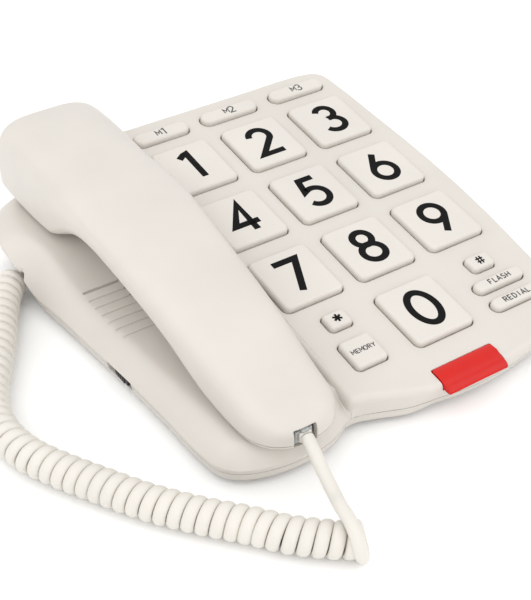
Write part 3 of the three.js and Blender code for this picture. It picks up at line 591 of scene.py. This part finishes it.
def cradleBlock(name, shrink, material, spacing):
    left = [i for i in range(len(rim)) if rim[i][0] < base["seam"]]
    first = next(i for i in left if (i - 1) % len(rim) not in left)
    ordered = np.array([rim[(first + k) % len(rim)] for k in range(len(left))])
    if shrink:
        ordered = moveIn(ordered, shrink)[1:-1]
    rear, front = ordered[0][1], ordered[-1][1]
    side = base["seam"] + 5
    inside = [np.array([side, y]) for y in np.arange(front + 3, rear - 1.5, spacing)]
    outline = np.array(list(ordered) + inside)
    onRim = np.arange(len(outline)) < len(ordered)
    bottom = base["split"] if not shrink else 0.0
    top = cradleTop(outline) - shrink
    rings = []
    for share in np.linspace(0, 1, 6):
        z = bottom + (top - bottom) * share
        inset = np.where(onRim, skirtInset(outline, z), 0)
        inset[[0, len(ordered) - 1]] = 0
        rings.append(np.column_stack([moveIn(outline, inset), z]))
    # the rolled edge needs close rings, the rest an even net
    plan = [tuple(p) for p in rings[-1][:, :2]]
    if not shrink:
        run = edgeRun(outline)[0]
        for k in range(1, 13):
            angle = k / 12 * math.pi / 2
            ring = moveIn(outline, run * (1 - math.cos(angle)))[onRim][2:-2]
            plan += [tuple(p) for p in ring if p[0] < side - 0.8]
    xs = np.arange(outline[:, 0].min(), side - 0.6, spacing)
    ys = np.arange(outline[:, 1].min(), outline[:, 1].max(), spacing)
    net = np.array([(x, y) for x in xs for y in ys])
    inner = rimDistance(net)
    reach = edgeRun(net)[0] + 0.5 if not shrink else np.full(len(net), shrink + 1.0)
    plan += [tuple(p) for p, d, r in zip(net, inner, reach) if d > r and isInside(p, plan[: len(outline)])]
    found = delaunay_2d_cdt([Vector(p) for p in plan], [], [list(range(len(outline)))], 1, 1e-4)
    flat = np.array([list(p) for p in found[0]])
    origin = found[3]
    heights = cradleTop(flat) - shrink
    sides = len(outline)
    points, faces = loft(rings, (True, False))
    lid = (len(rings) - 1) * sides
    index = {}
    for k, sources in enumerate(origin):
        edge = [s for s in sources if s < sides]
        if edge:
            index[k] = lid + edge[0]
        else:
            index[k] = len(points)
            points.append((flat[k][0], flat[k][1], heights[k]))
    faces += [tuple(index[i] for i in face) for face in found[2]]
    return makePiece(name, points, faces, material)


def isInside(point, polygon):
    x, y = point
    hit = False
    for (x0, y0), (x1, y1) in zip(polygon, polygon[1:] + polygon[:1]):
        if (y0 > y) != (y1 > y) and x < x0 + (y - y0) * (x1 - x0) / (y1 - y0):
            hit = not hit
    return hit


# keys
keySettings = dict(
    gap=0.5,
    edge=1.5,  # rounding round the top
    corners=dict(
        key_star=2.2, key_store=2.4, key_hash=2.4, key_flash=3.4, key_redial=3.4, memory=4.2, digit=3.2
    ),
    openingEdge=0.55,
)


def keyPlaces():
    places = {}
    back = deckMatrix.inverted()
    corners = keySettings["corners"]
    for name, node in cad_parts.items():
        if not name.startswith("key_"):
            continue
        local = [back @ (v.co / mm) for v in node.data.vertices]
        cap = [p for p in local if p.z > 1]
        low = [min(p[k] for p in cap) for k in range(2)]
        high = [max(p[k] for p in cap) for k in range(2)]
        kind = "memory" if "memory" in name else "digit" if len(name) == 5 else name
        places[name] = dict(
            u=(low[0] + high[0]) / 2,
            v=(low[1] + high[1]) / 2,
            sizeX=high[0] - low[0],
            sizeY=high[1] - low[1],
            corner=corners[kind],
            rise=max(p.z for p in cap),
            bottom=min(p.z for p in local),
        )
    return places


def keyRing(place, grow, corner, z):
    outline = roundedRect(place["sizeX"] + 2 * grow, place["sizeY"] + 2 * grow, corner)
    return [(place["u"] + x, place["v"] + y, z) for x, y in outline]


def keyCap(name, place, finishes):
    edge = keySettings["edge"]
    flange = keySettings["gap"] + 0.8
    levels = [(flange, place["bottom"]), (flange, place["bottom"] + 1), (0, place["bottom"] + 1), (0, -0.6)]
    for k in range(7):
        angle = k / 6 * math.pi / 2
        levels.append((-edge * (1 - math.cos(angle)), place["rise"] - edge + edge * math.sin(angle)))
    corner = place["corner"] - keySettings["gap"]
    rings = [keyRing(place, grow, max(0.3, corner + grow), z) for grow, z in levels]
    cap = makePiece(name.replace("key_", "keyCap_"), *loft(rings), finishes["keys"], deckMatrix)
    return soften(cap, 40)


def keyCutter(place, material):
    edge = keySettings["openingEdge"]
    levels = [(0, -9), (0, -edge)]
    levels += [(edge * (1 - math.cos(a)), -edge + edge * math.sin(a)) for a in (0.4, 0.8, 1.2, 1.57)]
    levels += [(edge, 3)]
    rings = [keyRing(place, keySettings["gap"] + grow, place["corner"] + grow, z) for grow, z in levels]
    return makePiece("opening", *loft(rings), material, deckMatrix)


# printing
def arc(x, y, radiusX, radiusY, start, end):
    steps = max(6, int(abs(end - start) / 9))
    turns = [math.radians(start + (end - start) * k / steps) for k in range(steps + 1)]
    return [(x + radiusX * math.cos(a), y + radiusY * math.sin(a)) for a in turns]


markStrokes = {
    "0": [arc(0, 0, 5.5, 8.4, 90, 450)],
    "1": [[(-3.6, 5.9), (-0.6, 8.0), (0.9, 8.4), (0.9, -8.4)]],
    "2": [arc(-0.1, 3.7, 4.7, 4.7, 172, -28) + [(-5.0, -8.3), (5.4, -8.3)]],
    "3": [
        arc(-0.1, 4.4, 4.1, 4.1, 158, -90) + [(-0.9, 0.3)],
        [(-0.9, 0.2)] + arc(-0.1, -3.9, 4.9, 4.4, 90, -155),
    ],
    "4": [[(2.0, -8.6), (2.0, 8.2), (-5.6, -3.9), (5.6, -3.9)]],
    "5": [[(4.3, 8.3), (-2.5, 8.3), (-3.9, 0.9)] + arc(-0.3, -3.1, 5.2, 5.2, 122, -146)],
    "6": [[(0.9, 8.6), (-4.4, -0.6)], arc(0, -3.2, 5.1, 5.1, 90, 450)],
    "7": [[(-5.4, 8.2), (5.0, 8.2), (-2.0, -8.6)]],
    "8": [arc(0, 4.4, 4.0, 4.0, 90, 450), arc(0, -3.9, 4.9, 4.6, 90, 450)],
    "9": [[(-0.9, -8.6), (4.4, 0.6)], arc(0, 3.2, 5.1, 5.1, 90, 450)],
    "*": [[(0, 5), (0, -5)], [(-4.3, 2.5), (4.3, -2.5)], [(-4.3, -2.5), (4.3, 2.5)]],
    "#": [[(-1.4, 6), (-2.6, -6)], [(2.6, 6), (1.4, -6)], [(-5, 2.2), (5, 2.2)], [(-5, -2.2), (5, -2.2)]],
    "M": [[(-4.6, -6), (-4.6, 6), (0, -1.6), (4.6, 6), (4.6, -6)]],
    "E": [[(3.4, 6), (-3.2, 6), (-3.2, -6), (3.4, -6)], [(-3.2, 0), (2.6, 0)]],
    "O": [arc(0, 0, 4.6, 6, 90, 450)],
    "R": [
        [(-3.4, -6.4), (-3.4, 6), (0.6, 6)] + arc(0.6, 3, 3, 3, 90, -90) + [(-3.4, 0)],
        [(0, 0), (3.8, -6.4)],
    ],
    "Y": [[(-4.2, 6), (0, -0.4), (4.2, 6)], [(0, -0.4), (0, -6.4)]],
    "F": [[(3.4, 6), (-3, 6), (-3, -6.4)], [(-3, 0), (2.4, 0)]],
    "L": [[(-2.8, 6.4), (-2.8, -6), (3.2, -6)]],
    "A": [[(-4.6, -6.4), (0, 6), (4.6, -6.4)], [(-3, -2.4), (3, -2.4)]],
    "S": [arc(0, 3, 3.1, 3, 35, 270) + arc(0, -3, 3.3, 3, 90, -145)],
    "H": [[(-3.8, 6.4), (-3.8, -6.4)], [(3.8, 6.4), (3.8, -6.4)], [(-3.8, 0), (3.8, 0)]],
    "D": [[(-3.4, -6), (-3.4, 6), (-0.4, 6)] + arc(-0.4, 0, 4.2, 6, 90, -90) + [(-3.4, -6)]],
    "I": [[(0, 6.4), (0, -6.4)]],
}


def strokePiece(stroke, width, low, high, material, scale, shift):
    # one flat band along a line; square ends, closed where the line closes
    points = [Vector((x * scale + shift[0], y * scale + shift[1])) for x, y in stroke]
    closed = (points[0] - points[-1]).length < 1e-4 and len(points) > 6
    if closed:
        points = points[:-1]
    count = len(points)
    leftSide, rightSide = [], []
    for i, point in enumerate(points):
        before = points[i - 1] if i or closed else point
        after = points[(i + 1) % count] if i + 1 < count or closed else point
        ahead = after - point
        behind = point - before
        if ahead.length < 1e-6:
            ahead = behind
        if behind.length < 1e-6:
            behind = ahead
        a, b = ahead.normalized(), behind.normalized()
        normal = Vector((-(a + b).y, (a + b).x)).normalized()
        reach = width / 2 / max(0.42, normal.dot(Vector((-a.y, a.x))))
        leftSide.append(point + normal * reach)
        rightSide.append(point - normal * reach)
    rings = []
    for left, right in zip(leftSide, rightSide):
        side = [(*right, low), (*right, high)]
        rings.append(side + [(*left, high), (*left, low)])
    corners = [p for ring in rings for p in ring]
    faces = []
    for r in range(count if closed else count - 1):
        for i in range(4):
            j = (i + 1) % 4
            nextRing = (r + 1) % count
            faces.append((r * 4 + i, nextRing * 4 + i, nextRing * 4 + j, r * 4 + j))
    if not closed:
        faces.append((0, 1, 2, 3))
        last = (count - 1) * 4
        faces.append((last + 3, last + 2, last + 1, last))
    return makePiece("stroke", corners, faces, material, deckMatrix)


def printMarks(name, text, place, height, stroke, material):
    # a digit is drawn about 17 high, any other mark 12.6
    scale = height / (17 if text in "0123456789" else 12.6)
    advance = 11.6 * scale * (1.0 if len(text) < 3 else 0.98)
    low, high = place["rise"] - 0.3, place["rise"] + 0.04
    bands = []
    for k, mark in enumerate(text):
        shift = (place["u"] + (k - (len(text) - 1) / 2) * advance, place["v"])
        for line in markStrokes[mark]:
            bands.append(strokePiece(line, stroke, low, high, material, scale, shift))
    for band in bands[1:]:
        carve(bands[0], band, "UNION")
    bands[0].name = name
    return soften(bands[0], 30, False)


# text, height, width of the stroke
digitText = (17.8, 3.1)
keyText = dict(
    key_star=("*", 5.2, 1.0), key_hash=("#", 4.6, 0.7), key_memory_1=("M1", 3.2, 0.62),
    key_memory_2=("M2", 3.2, 0.62), key_memory_3=("M3", 3.2, 0.62), key_store=("MEMORY", 2.1, 0.4),
    key_flash=("FLASH", 2.6, 0.52), key_redial=("REDIAL", 2.6, 0.52),
)


def makeKeys(finishes):
    places = keyPlaces()
    for name, place in places.items():
        cap = keyCap(name, place, finishes)
        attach(cap, name)
        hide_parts(name)
        text, height, stroke = keyText.get(name, (name[4:], *digitText))
        ink = finishes["softPrint"] if len(text) > 1 else finishes["print"]
        mark = printMarks("print_" + name[4:], text, place, height, stroke, ink)
        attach(mark, name)
    print("keys", len(places))
    return places


# base shells
grille = dict(x=-69.5, y=4.8, rows=7, pitch=5.5, length=18.0, width=1.4, depth=0.35, hole=0.75)
ringerWindow = dict(y=-21.0, z=6.6, length=17.0, height=4.4)
lineHole = ((33, 80, 14.5), (47, 99, 25.5))  # opposite corners
plungerHole = dict(y=55, outline=[(0, 10), (3.4, 10), (3.4, 26.3), (3.9, 27.2), (3.9, 40), (0, 40)])


def windowBlock(material):
    half = ringerWindow["length"] / 2
    y, z, rise = ringerWindow["y"], ringerWindow["z"], ringerWindow["height"] / 2
    return boxPiece("window", (-100, y - half, z - rise), (-70, y + half, z + rise), material, None, 0.3)


def makeBase(finishes, places):
    ivory = finishes["ivory"]
    top = deckBlock("baseTopCase", 0, ivory)
    carve(top, cradleBlock("cradle", 0, ivory, 1.9), "UNION")
    hollow = deckBlock("deckHollow", base["wall"], ivory)
    carve(hollow, cradleBlock("cradleHollow", base["wall"], ivory, 4), "UNION")
    carve(top, hollow)
    print("top case formed", len(top.data.polygons))
    carve(top, joined("openings", [keyCutter(place, ivory) for place in places.values()]))
    slots = []
    for k in range(grille["rows"]):
        y = grille["y"] + (k - (grille["rows"] - 1) / 2) * grille["pitch"]
        outline = roundedRect(grille["length"], grille["width"], grille["width"] / 2 - 0.01)
        floor = cradle["floor"] - grille["depth"]
        rings = [[(grille["x"] + x, y + dy, z) for x, dy in outline] for z in (floor, 20)]
        slots.append(makePiece("slot", *loft(rings), ivory))
        place = Matrix.Translation((grille["x"] + grille["length"] / 2 - 0.9, y, 0))
        outline = [(0, 8), (grille["hole"], 8), (grille["hole"], 19), (0, 19)]
        slots.append(roundPiece("slot", outline, ivory, place, 16))
    carve(top, joined("slots", slots))
    y = plungerHole["y"]
    place = Matrix.Translation((handsetPlace["x"] - y * math.tan(handsetPlace["turn"]), y, 0))
    carve(top, roundPiece("hole", plungerHole["outline"], ivory, place))
    carve(top, lampBody("lampRoom", 0.35, ivory))
    notchCut(top, base["split"], 60, ivory)
    carve(top, windowBlock(ivory))
    carve(top, boxPiece("lineHole", *lineHole, ivory, None, 0.4))
    soften(top, 34)
    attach(top, "base")
    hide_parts("base_top_shell")
    makeBottom(ivory)
    print("base shells done")


# in the jack's own directions, from the middle of its mouth
cordRecess = dict(halfWidth=9.3, back=12.3, top=7.5, lining=1.7, liningTop=9.3)


def notchCut(shell, low, high, material):
    # recess round the base's cord socket, with its own lining
    half, back, wall = (cordRecess[key] for key in ("halfWidth", "back", "lining"))
    top = cordRecess["liningTop"]
    corners = ((-half - wall, -40, low - jackFace.z), (half + wall, back + wall, top))
    lining = boxPiece("lining", *corners, material, jackMatrix, 0.2)
    corners = ((-half, -60, -20), (half, back, cordRecess["top"]))
    recess = boxPiece("recess", *corners, material, jackMatrix, 0.6)
    corners = ((-100, 50, low), (-60, 100, min(high, jackFace.z + top)))
    levels = [(z, 0.15) for z in np.linspace(low, 17.5, 6)]
    carve(lining, rimStack("rimBlock", levels, material), "INTERSECT")
    carve(lining, boxPiece("form", *corners, material, None, 0.1), "INTERSECT")
    carve(shell, lining, "UNION")
    carve(shell, recess)


def rimStack(name, levels, material):
    # the base's outline, drawn in by its draft and a little more at each height
    rings = []
    for z, extra in levels:
        inset = skirtInset(rim, z) + extra
        rings.append(np.column_stack([moveIn(rim, inset), np.full(len(rim), z)]))
    return makePiece(name, *loft(rings), material)


underside = dict(grooves=7, first=-42, pitch=5, plate=((-24, 16, 1), (34, 52, 2.8)))


def makeBottom(ivory):
    top = base["split"] - base["gap"]
    levels = ((2.5, 1.2), (2.65, 0.6), (3.1, 0.15), (3.7, 0), (5, 0), (top, 0))
    bottom = rimStack("baseBottomCase", levels, ivory)
    levels = [(z, base["wall"]) for z in (base["foot"] + base["wall"], 12)]
    carve(bottom, rimStack("hollow", levels, ivory))
    for k in range(1, 5):
        place = nodeBox(f"base_screw_{k}")[2]
        boss = roundPiece("boss", [(0, 2.6), (4.2, 2.6), (4.2, top), (0, top)], ivory, place, 32)
        carve(bottom, boss, "UNION")
        outline = [(0, 0), (3.5, 0), (3.5, 4.1), (1.8, 4.1), (1.8, 20), (0, 20)]
        carve(bottom, roundPiece("hole", outline, ivory, place, 32))
    # shallow grooves across the underside, and a blank field for the rating plate
    grooves = []
    for k in range(underside["grooves"]):
        y = underside["first"] + k * underside["pitch"]
        grooves.append(boxPiece("groove", (20, y, 1), (66, y + 1.6, 3.1), ivory, None, 0.3))
    grooves.append(boxPiece("plate", *underside["plate"], ivory, None, 0.2))
    carve(bottom, joined("grooves", grooves))
    notchCut(bottom, 2.6, top, ivory)
    carve(bottom, windowBlock(ivory))
    soften(bottom, 34)
    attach(bottom, "base")
    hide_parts("base_bottom_shell")


# call lamp
lamp = dict(x=26.1, width=29.4, rear=-94.3, front=-106.3, bottom=12.4)


def lampBody(name, grow, material):
    rear, front = lamp["rear"], lamp["front"]
    rearTop, frontTop = float(deckTop(rear)), float(deckTop(front))
    outline = [
        (rear + grow, rearTop - 3.4 - grow), (rear + grow, rearTop + 0.2 + grow),
        (rear - 0.5, rearTop + 0.6 + grow), (rear - 4, rearTop + 0.8 + grow),
        (front + 4.2, frontTop + 0.8 + grow), (front + 2.4, frontTop + 0.4 + grow),
        (front + 1.1 - grow * 0.5, frontTop - 0.1 + grow),
        (front + 0.3 - grow, frontTop - 0.8 + grow * 0.6),
        (front - grow, frontTop - 1.5), (front + 0.6 - grow, lamp["bottom"] - grow),
        (front + 5, lamp["bottom"] - grow),
    ]
    half = lamp["width"] / 2 + grow
    edge = 0.7
    rings = []
    middle = (sum(y for y, z in outline) / len(outline), sum(z for y, z in outline) / len(outline))
    leftEnd = [(-half, edge), (-half + 0.2, 0.3), (-half + edge, 0)]
    rightEnd = [(half - edge, 0), (half - 0.2, 0.3), (half, edge)]
    for x, inset in leftEnd + rightEnd:
        ring = []
        for y, z in outline:
            away = Vector((y - middle[0], z - middle[1]))
            away = away * (1 - inset / max(away.length, inset))
            ring.append((lamp["x"] + x, middle[0] + away.x, middle[1] + away.y))
        rings.append(ring)
    return turnedOut(makePiece(name, *loft(rings), material))


def turnedOut(piece):
    # faces look outward
    volume = 0.0
    data = piece.data
    data.calc_loop_triangles()
    for triangle in data.loop_triangles:
        a, b, c = (data.vertices[i].co for i in triangle.vertices)
        volume += a.dot(b.cross(c))
    if volume < 0:
        data.flip_normals()
    return piece


def makeLamp(finishes):
    lens = soften(lampBody("callLamp", 0, finishes["lamp"]), 40)
    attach(lens, "base")
    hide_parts("indicator_lens")
    print("call lamp done")


# handset
handsetForm = dict(
    mouthEnd=-102.0,
    earEnd=106.3,
    mouthLength=19.0,
    earLength=14.0,
    top=[
        (-104, 28), (-90, 31.5), (-74.5, 35.5), (-55, 41), (-25.6, 48.2), (18, 55.6), (54, 58.8),
        (80, 59.3), (107, 57.5),
    ],
    waist=[
        (-104, 20), (-82, 20), (-62, 26), (-40, 33.5), (-5, 42), (22, 46), (40, 41), (52, 33), (107, 32),
    ],
    bottom=[
        (-104, 16.9), (-66, 16.9), (-52, 21.5), (-38, 27.5), (-10, 33), (14, 36), (33, 35),
        (45, 29.5), (53, 27.6), (107, 27.6),
    ],
    halfWidth=[
        (-104, 18.4), (-85, 19), (-70, 20.2), (-55, 21.2), (-25, 22.4), (18, 24.6), (54, 26), (80, 26.4),
        (107, 26),
    ],
    upper=[(-104, 3.4), (-50, 3.2), (0, 2.9), (45, 3.4), (107, 4.2)],
    lower=[(-104, 3.4), (-60, 3), (-30, 2.2), (25, 2.2), (52, 3.4), (107, 3.4)],
    caps=[(-78, 13.5, 15, 3.4), (78, 18.5, 18, 4)],  # y, half width, half length, drop
)


def formAt(key, y):
    return float(profile(handsetForm[key], y))


def handsetRing(y, shrink, sides):
    form = handsetForm
    front, rear = form["mouthEnd"] + form["mouthLength"], form["earEnd"] - form["earLength"]
    t = max((front - y) / form["mouthLength"], (y - rear) / form["earLength"], 0)

    def taper(mouth, ear):
        power = ear if y > 0 else mouth
        return max(0.0, 1 - t**power) ** (1 / power)

    half = (formAt("halfWidth", y) - shrink) * taper(2.4, 3.2)
    waist = formAt("waist", y)
    up = (formAt("top", y) - shrink - waist) * taper(4, 5)
    down = (waist - formAt("bottom", y) - shrink) * taper(3.4, 5)
    upper, lower = formAt("upper", y), formAt("lower", y)
    ring = []
    for k in range(sides):
        angle = 2 * math.pi * k / sides
        fullness = upper if math.sin(angle) >= 0 else lower
        c = math.copysign(abs(math.cos(angle)) ** (2 / fullness), math.cos(angle))
        s = abs(math.sin(angle)) ** (2 / fullness)
        ring.append((half * c, y, waist + up * s if math.sin(angle) >= 0 else waist - down * s))
    return ring


def handsetBody(name, shrink, material, sides, count):
    form = handsetForm
    front, rear = form["mouthEnd"] + form["mouthLength"], form["earEnd"] - form["earLength"]
    ends = [math.sin(k / 16 * math.pi / 2) for k in range(17)]
    stations = [front - form["mouthLength"] * t for t in reversed(ends)]
    stations += list(np.linspace(front, rear, count))[1:-1]
    stations += [rear + form["earLength"] * t for t in ends]
    middle = (form["mouthEnd"] + form["earEnd"]) / 2
    scale = (form["earEnd"] - form["mouthEnd"] - 2 * shrink) / (form["earEnd"] - form["mouthEnd"])
    rings = []
    for y in stations:
        ring = handsetRing(y, shrink, sides)
        rings.append([(x, middle + (place - middle) * scale, z) for x, place, z in ring])
    tips = [(0, *rings[k][0][1:]) for k in (0, -1)]
    return turnedOut(makePiece(name, *pointed(rings[1:-1], tips), material, handsetMatrix))


def splitBlock(name, offset, above, material):
    form = handsetForm
    ys = np.linspace(form["mouthEnd"] - 4, form["earEnd"] + 4, 90)
    line = [(y, formAt("bottom", y) + base["wall"] + 0.4 + offset) for y in ys]
    far = 95 if above else -20
    rings = []
    for x in (-45, 45):
        rings.append([(x, y, z) for y, z in line] + [(x, ys[-1], far), (x, ys[0], far)])
    return turnedOut(makePiece(name, *loft(rings), material, handsetMatrix))


def capBody(y, radiusX, radiusY, drop, material):
    bottom = formAt("bottom", y)
    outline = [(math.sin(a), -math.cos(a)) for a in np.linspace(0, math.pi, 25)]
    points, faces = lathe(outline, 64)
    shaped = [(x * radiusX, y + py * radiusY, bottom + 2 + z * (drop + 2)) for x, py, z in points]
    return turnedOut(makePiece("cap", shaped, faces, material, handsetMatrix))


soundHoles = dict(radius=0.9, ring=5.0, count=6)


def holeBody(x, y, low, high, radius, material):
    outline = [(0, low), (radius, low), (radius, high), (0, high)]
    place = handsetMatrix @ Matrix.Translation((x, y, 0))
    return roundPiece("soundHole", outline, material, place, 20)


def makeHandset(finishes):
    ivory = finishes["ivory"]
    upper = handsetBody("handsetTopCase", 0, ivory, 96, 110)
    lower = handsetBody("handsetBottomCase", 0, ivory, 96, 110)
    for cap in handsetForm["caps"]:
        carve(lower, capBody(*cap, ivory), "UNION")
    for shell in (upper, lower):
        carve(shell, handsetBody("hollow", base["wall"], ivory, 48, 50))
    carve(upper, splitBlock("above", 0.3, True, ivory), "INTERSECT")
    carve(lower, splitBlock("below", 0.0, False, ivory), "INTERSECT")
    holes = [(0, 78), (0, -78)]
    for k in range(soundHoles["count"]):
        angle = 2 * math.pi * k / soundHoles["count"]
        holes.append((soundHoles["ring"] * math.cos(angle), 78 + soundHoles["ring"] * math.sin(angle)))
    for x, y in holes:
        low = formAt("bottom", y)
        carve(lower, holeBody(x, y, low - 9, low + 5, soundHoles["radius"], ivory))
    for name in ("handset_screw_1", "handset_screw_2"):
        lowCorner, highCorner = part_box(name)
        centre = handsetMatrix.inverted() @ ((lowCorner + highCorner) / 2 / mm)
        low = formAt("bottom", centre.y)
        carve(lower, holeBody(0, centre.y, low - 5, low + 1.9, 2.95, ivory))
        carve(lower, holeBody(0, centre.y, low, low + 4, 1.6, ivory))
    for shell in (upper, lower):
        x, y, z = (handsetSocket[key] for key in "xyz")
        corners = ((x - 6.8, y - 0.3, z - 4.6), (x + 6.8, y + 13.3, z + 4.6))
        carve(shell, boxPiece("jackRoom", *corners, ivory, handsetMatrix))
        corners = ((x - 4.8, y - 15, z - 3.9), (x + 4.8, y + 1, z + 3.9))
        carve(shell, boxPiece("mouth", *corners, ivory, handsetMatrix, 0.5))
    soften(upper, 34)
    soften(lower, 34)
    for shell, node in ((upper, "handset_upper_shell"), (lower, "handset_lower_shell")):
        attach(shell, "handset")
        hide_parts(node)
    print("handset done")


# small parts
def nodeBox(name):
    # its corners in millimetres, and the place under its middle
    low, high = (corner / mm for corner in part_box(name))
    return low, high, Matrix.Translation(((low.x + high.x) / 2, (low.y + high.y) / 2, 0))


def jackPiece(name, size, matrix, finishes):
    # socket block with a slot for the plug's latch
    width, height, depth = size
    inner = finishes["inner"]
    corners = ((-width / 2, 0, -height / 2), (width / 2, depth, height / 2))
    block = boxPiece(name, *corners, inner, matrix, 0.4)
    carve(block, boxPiece("socket", (-4.2, -1, -3.6), (4.2, 8.2, 3.6), inner, matrix, 0.25))
    carve(block, boxPiece("latchSlot", (-1.9, -1, 3), (1.9, 5, 4.4), inner, matrix, 0.1))
    return soften(block)


def makeSmallParts(finishes):
    for name, node, size, matrix, body in (
        ("baseSocket", "handset_jack_base", (18, 11, 12), jackMatrix, "base"),
        ("handsetJack", "handset_jack", (13, 8.6, 13), socketMatrix, "handset"),
    ):
        jack = jackPiece(name, size, matrix, finishes)
        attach(jack, body)
        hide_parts(node)
    low, high, place = nodeBox("ringer_switch_knob")
    knob = [boxPiece("knob", tuple(low), tuple(high), finishes["black"], None, 0.4)]
    for k in range(5):
        y = (low.y + high.y) / 2 + (k - 2) * 1.5
        corners = ((low.x - 0.5, y - 0.4, low.z + 0.3), (low.x + 0.6, y + 0.4, high.z - 0.3))
        knob.append(boxPiece("rib", *corners, finishes["black"], None, 0.2))
    slider = soften(joined("ringerSlider", knob))
    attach(slider, "ringer_switch_knob")
    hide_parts("ringer_switch_knob")
    for k in range(1, 5):
        place = nodeBox(f"foot_{k}")[2]
        outline = [(0, 0.35), (3.6, 0.35), (4.4, 0), (5.3, 0), (5.85, 0.35), (6, 0.9), (5.9, 2.2)]
        outline += [(1.8, 2.2), (1.8, 5.2), (1.3, 5.4), (0, 5.4)]
        foot = soften(roundPiece(f"foot{k}", outline, finishes["rubber"], place))
        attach(foot, "base")
        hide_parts(f"foot_{k}")
    makeScrews(finishes)
    makeHook(finishes)
    print("small parts done")


def makeScrews(finishes):
    jobs = [(f"base_screw_{k}", "base", 3.0, 1.3) for k in range(1, 5)]
    jobs += [(f"handset_screw_{k}", "handset", 2.6, 1.1) for k in (1, 2)]
    for name, body, radius, shaft in jobs:
        low, high, place = nodeBox(name)
        outline = [(0, low.z), (radius - 0.5, low.z), (radius, low.z + 0.5), (radius, low.z + 1.1)]
        outline += [(shaft, low.z + 1.1)]
        z = low.z + 1.4
        while z < high.z - 0.6:
            outline += [(shaft + 0.2, z), (shaft - 0.15, z + 0.35)]
            z += 0.7
        outline += [(shaft * 0.5, high.z), (0, high.z)]
        screw = roundPiece(name.replace("_screw_", "Screw"), outline, finishes["steel"], place, 28)
        for angle in (0, math.pi / 2):
            slot = place @ Matrix.Rotation(angle, 4, "Z")
            corners = ((-0.35, -1.7, low.z - 1), (0.35, 1.7, low.z + 0.7))
            carve(screw, boxPiece("slot", *corners, finishes["steel"], slot))
        soften(screw)
        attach(screw, body)
        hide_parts(name)


def makeHook(finishes):
    low, high, place = nodeBox("hook_plunger")
    outline = [(0, low.z), (4.8, low.z), (5, low.z + 0.2), (5, low.z + 1)]
    outline += [(4.8, low.z + 1.2), (3, low.z + 1.2)]
    edge = 1.2
    for a in (0, 0.4, 0.8, 1.2, 1.57):
        outline.append((3 - edge * (1 - math.cos(a)), high.z - edge + edge * math.sin(a)))
    outline += [(0, high.z)]
    hook = soften(roundPiece("hookButton", outline, finishes["inner"], place))
    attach(hook, "hook_plunger")
    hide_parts("hook_plunger")


def finishNodes(finishes):
    # CAD pieces that stay as they are
    kinds = dict(
        keypad_mat="silicone", main_board="board", indicator_led="led", ringer_speaker="black",
        ballast_plate="steel", hook_switch="black", ringer_switch_body="black", line_jack="black",
        receiver_capsule="black", microphone_capsule="black", handset_weight="steel",
    )
    for name, kind in kinds.items():
        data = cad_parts[name].data
        data.materials.clear()
        data.materials.append(finishes[kind])
        data.shade_smooth()
        data.set_sharp_from_angle(angle=math.radians(30))


# studio
def makeStudio(finishes):
    half = 3000
    corners = [(-half, -half, 0), (half, -half, 0), (half, half, 0), (-half, half, 0)]
    floor = makePiece("studioFloor", corners, [(0, 1, 2, 3)], finishes["floor"])
    lights = dict(
        key=((-0.9, 0.5, 1.5), 2.2, 11),
        fill=((0.9, -0.9, 1.3), 1.6, 6),
        front=((-0.6, -1.3, 0.8), 1.2, 5),
    )
    for name, (place, size, power) in lights.items():
        lightData = bpy.data.lights.new(name, "AREA")
        lightData.size = size
        lightData.energy = power
        aim(placed(name, lightData), place, -Vector(place))
    world = bpy.data.worlds.new("studio")
    world.use_nodes = True
    world.node_tree.nodes["Background"].inputs["Color"].default_value = (1, 1, 1, 1)
    world.node_tree.nodes["Background"].inputs["Strength"].default_value = 0.98
    bpy.context.scene.world = world
    bpy.context.scene.view_settings.view_transform = "Standard"
    print("studio lit")


makeCamera()
finishes = makeFinishes()
cord, cordPath, cordLength = makeCord(finishes)
handsetPlug = plugPieces("handsetPlug", socketMatrix, finishes)
basePlug = plugPieces("basePlug", jackMatrix, finishes)
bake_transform(cord)
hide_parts("cord_tail_handset", "cord_coil", "cord_tail_base")
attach(handsetPlug, "handset")
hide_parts("cord_plug_handset")
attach(basePlug, "base")
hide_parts("cord_plug_base")
keyList = makeKeys(finishes)
makeBase(finishes, keyList)
makeLamp(finishes)
makeHandset(finishes)
makeSmallParts(finishes)
finishNodes(finishes)
makeStudio(finishes)
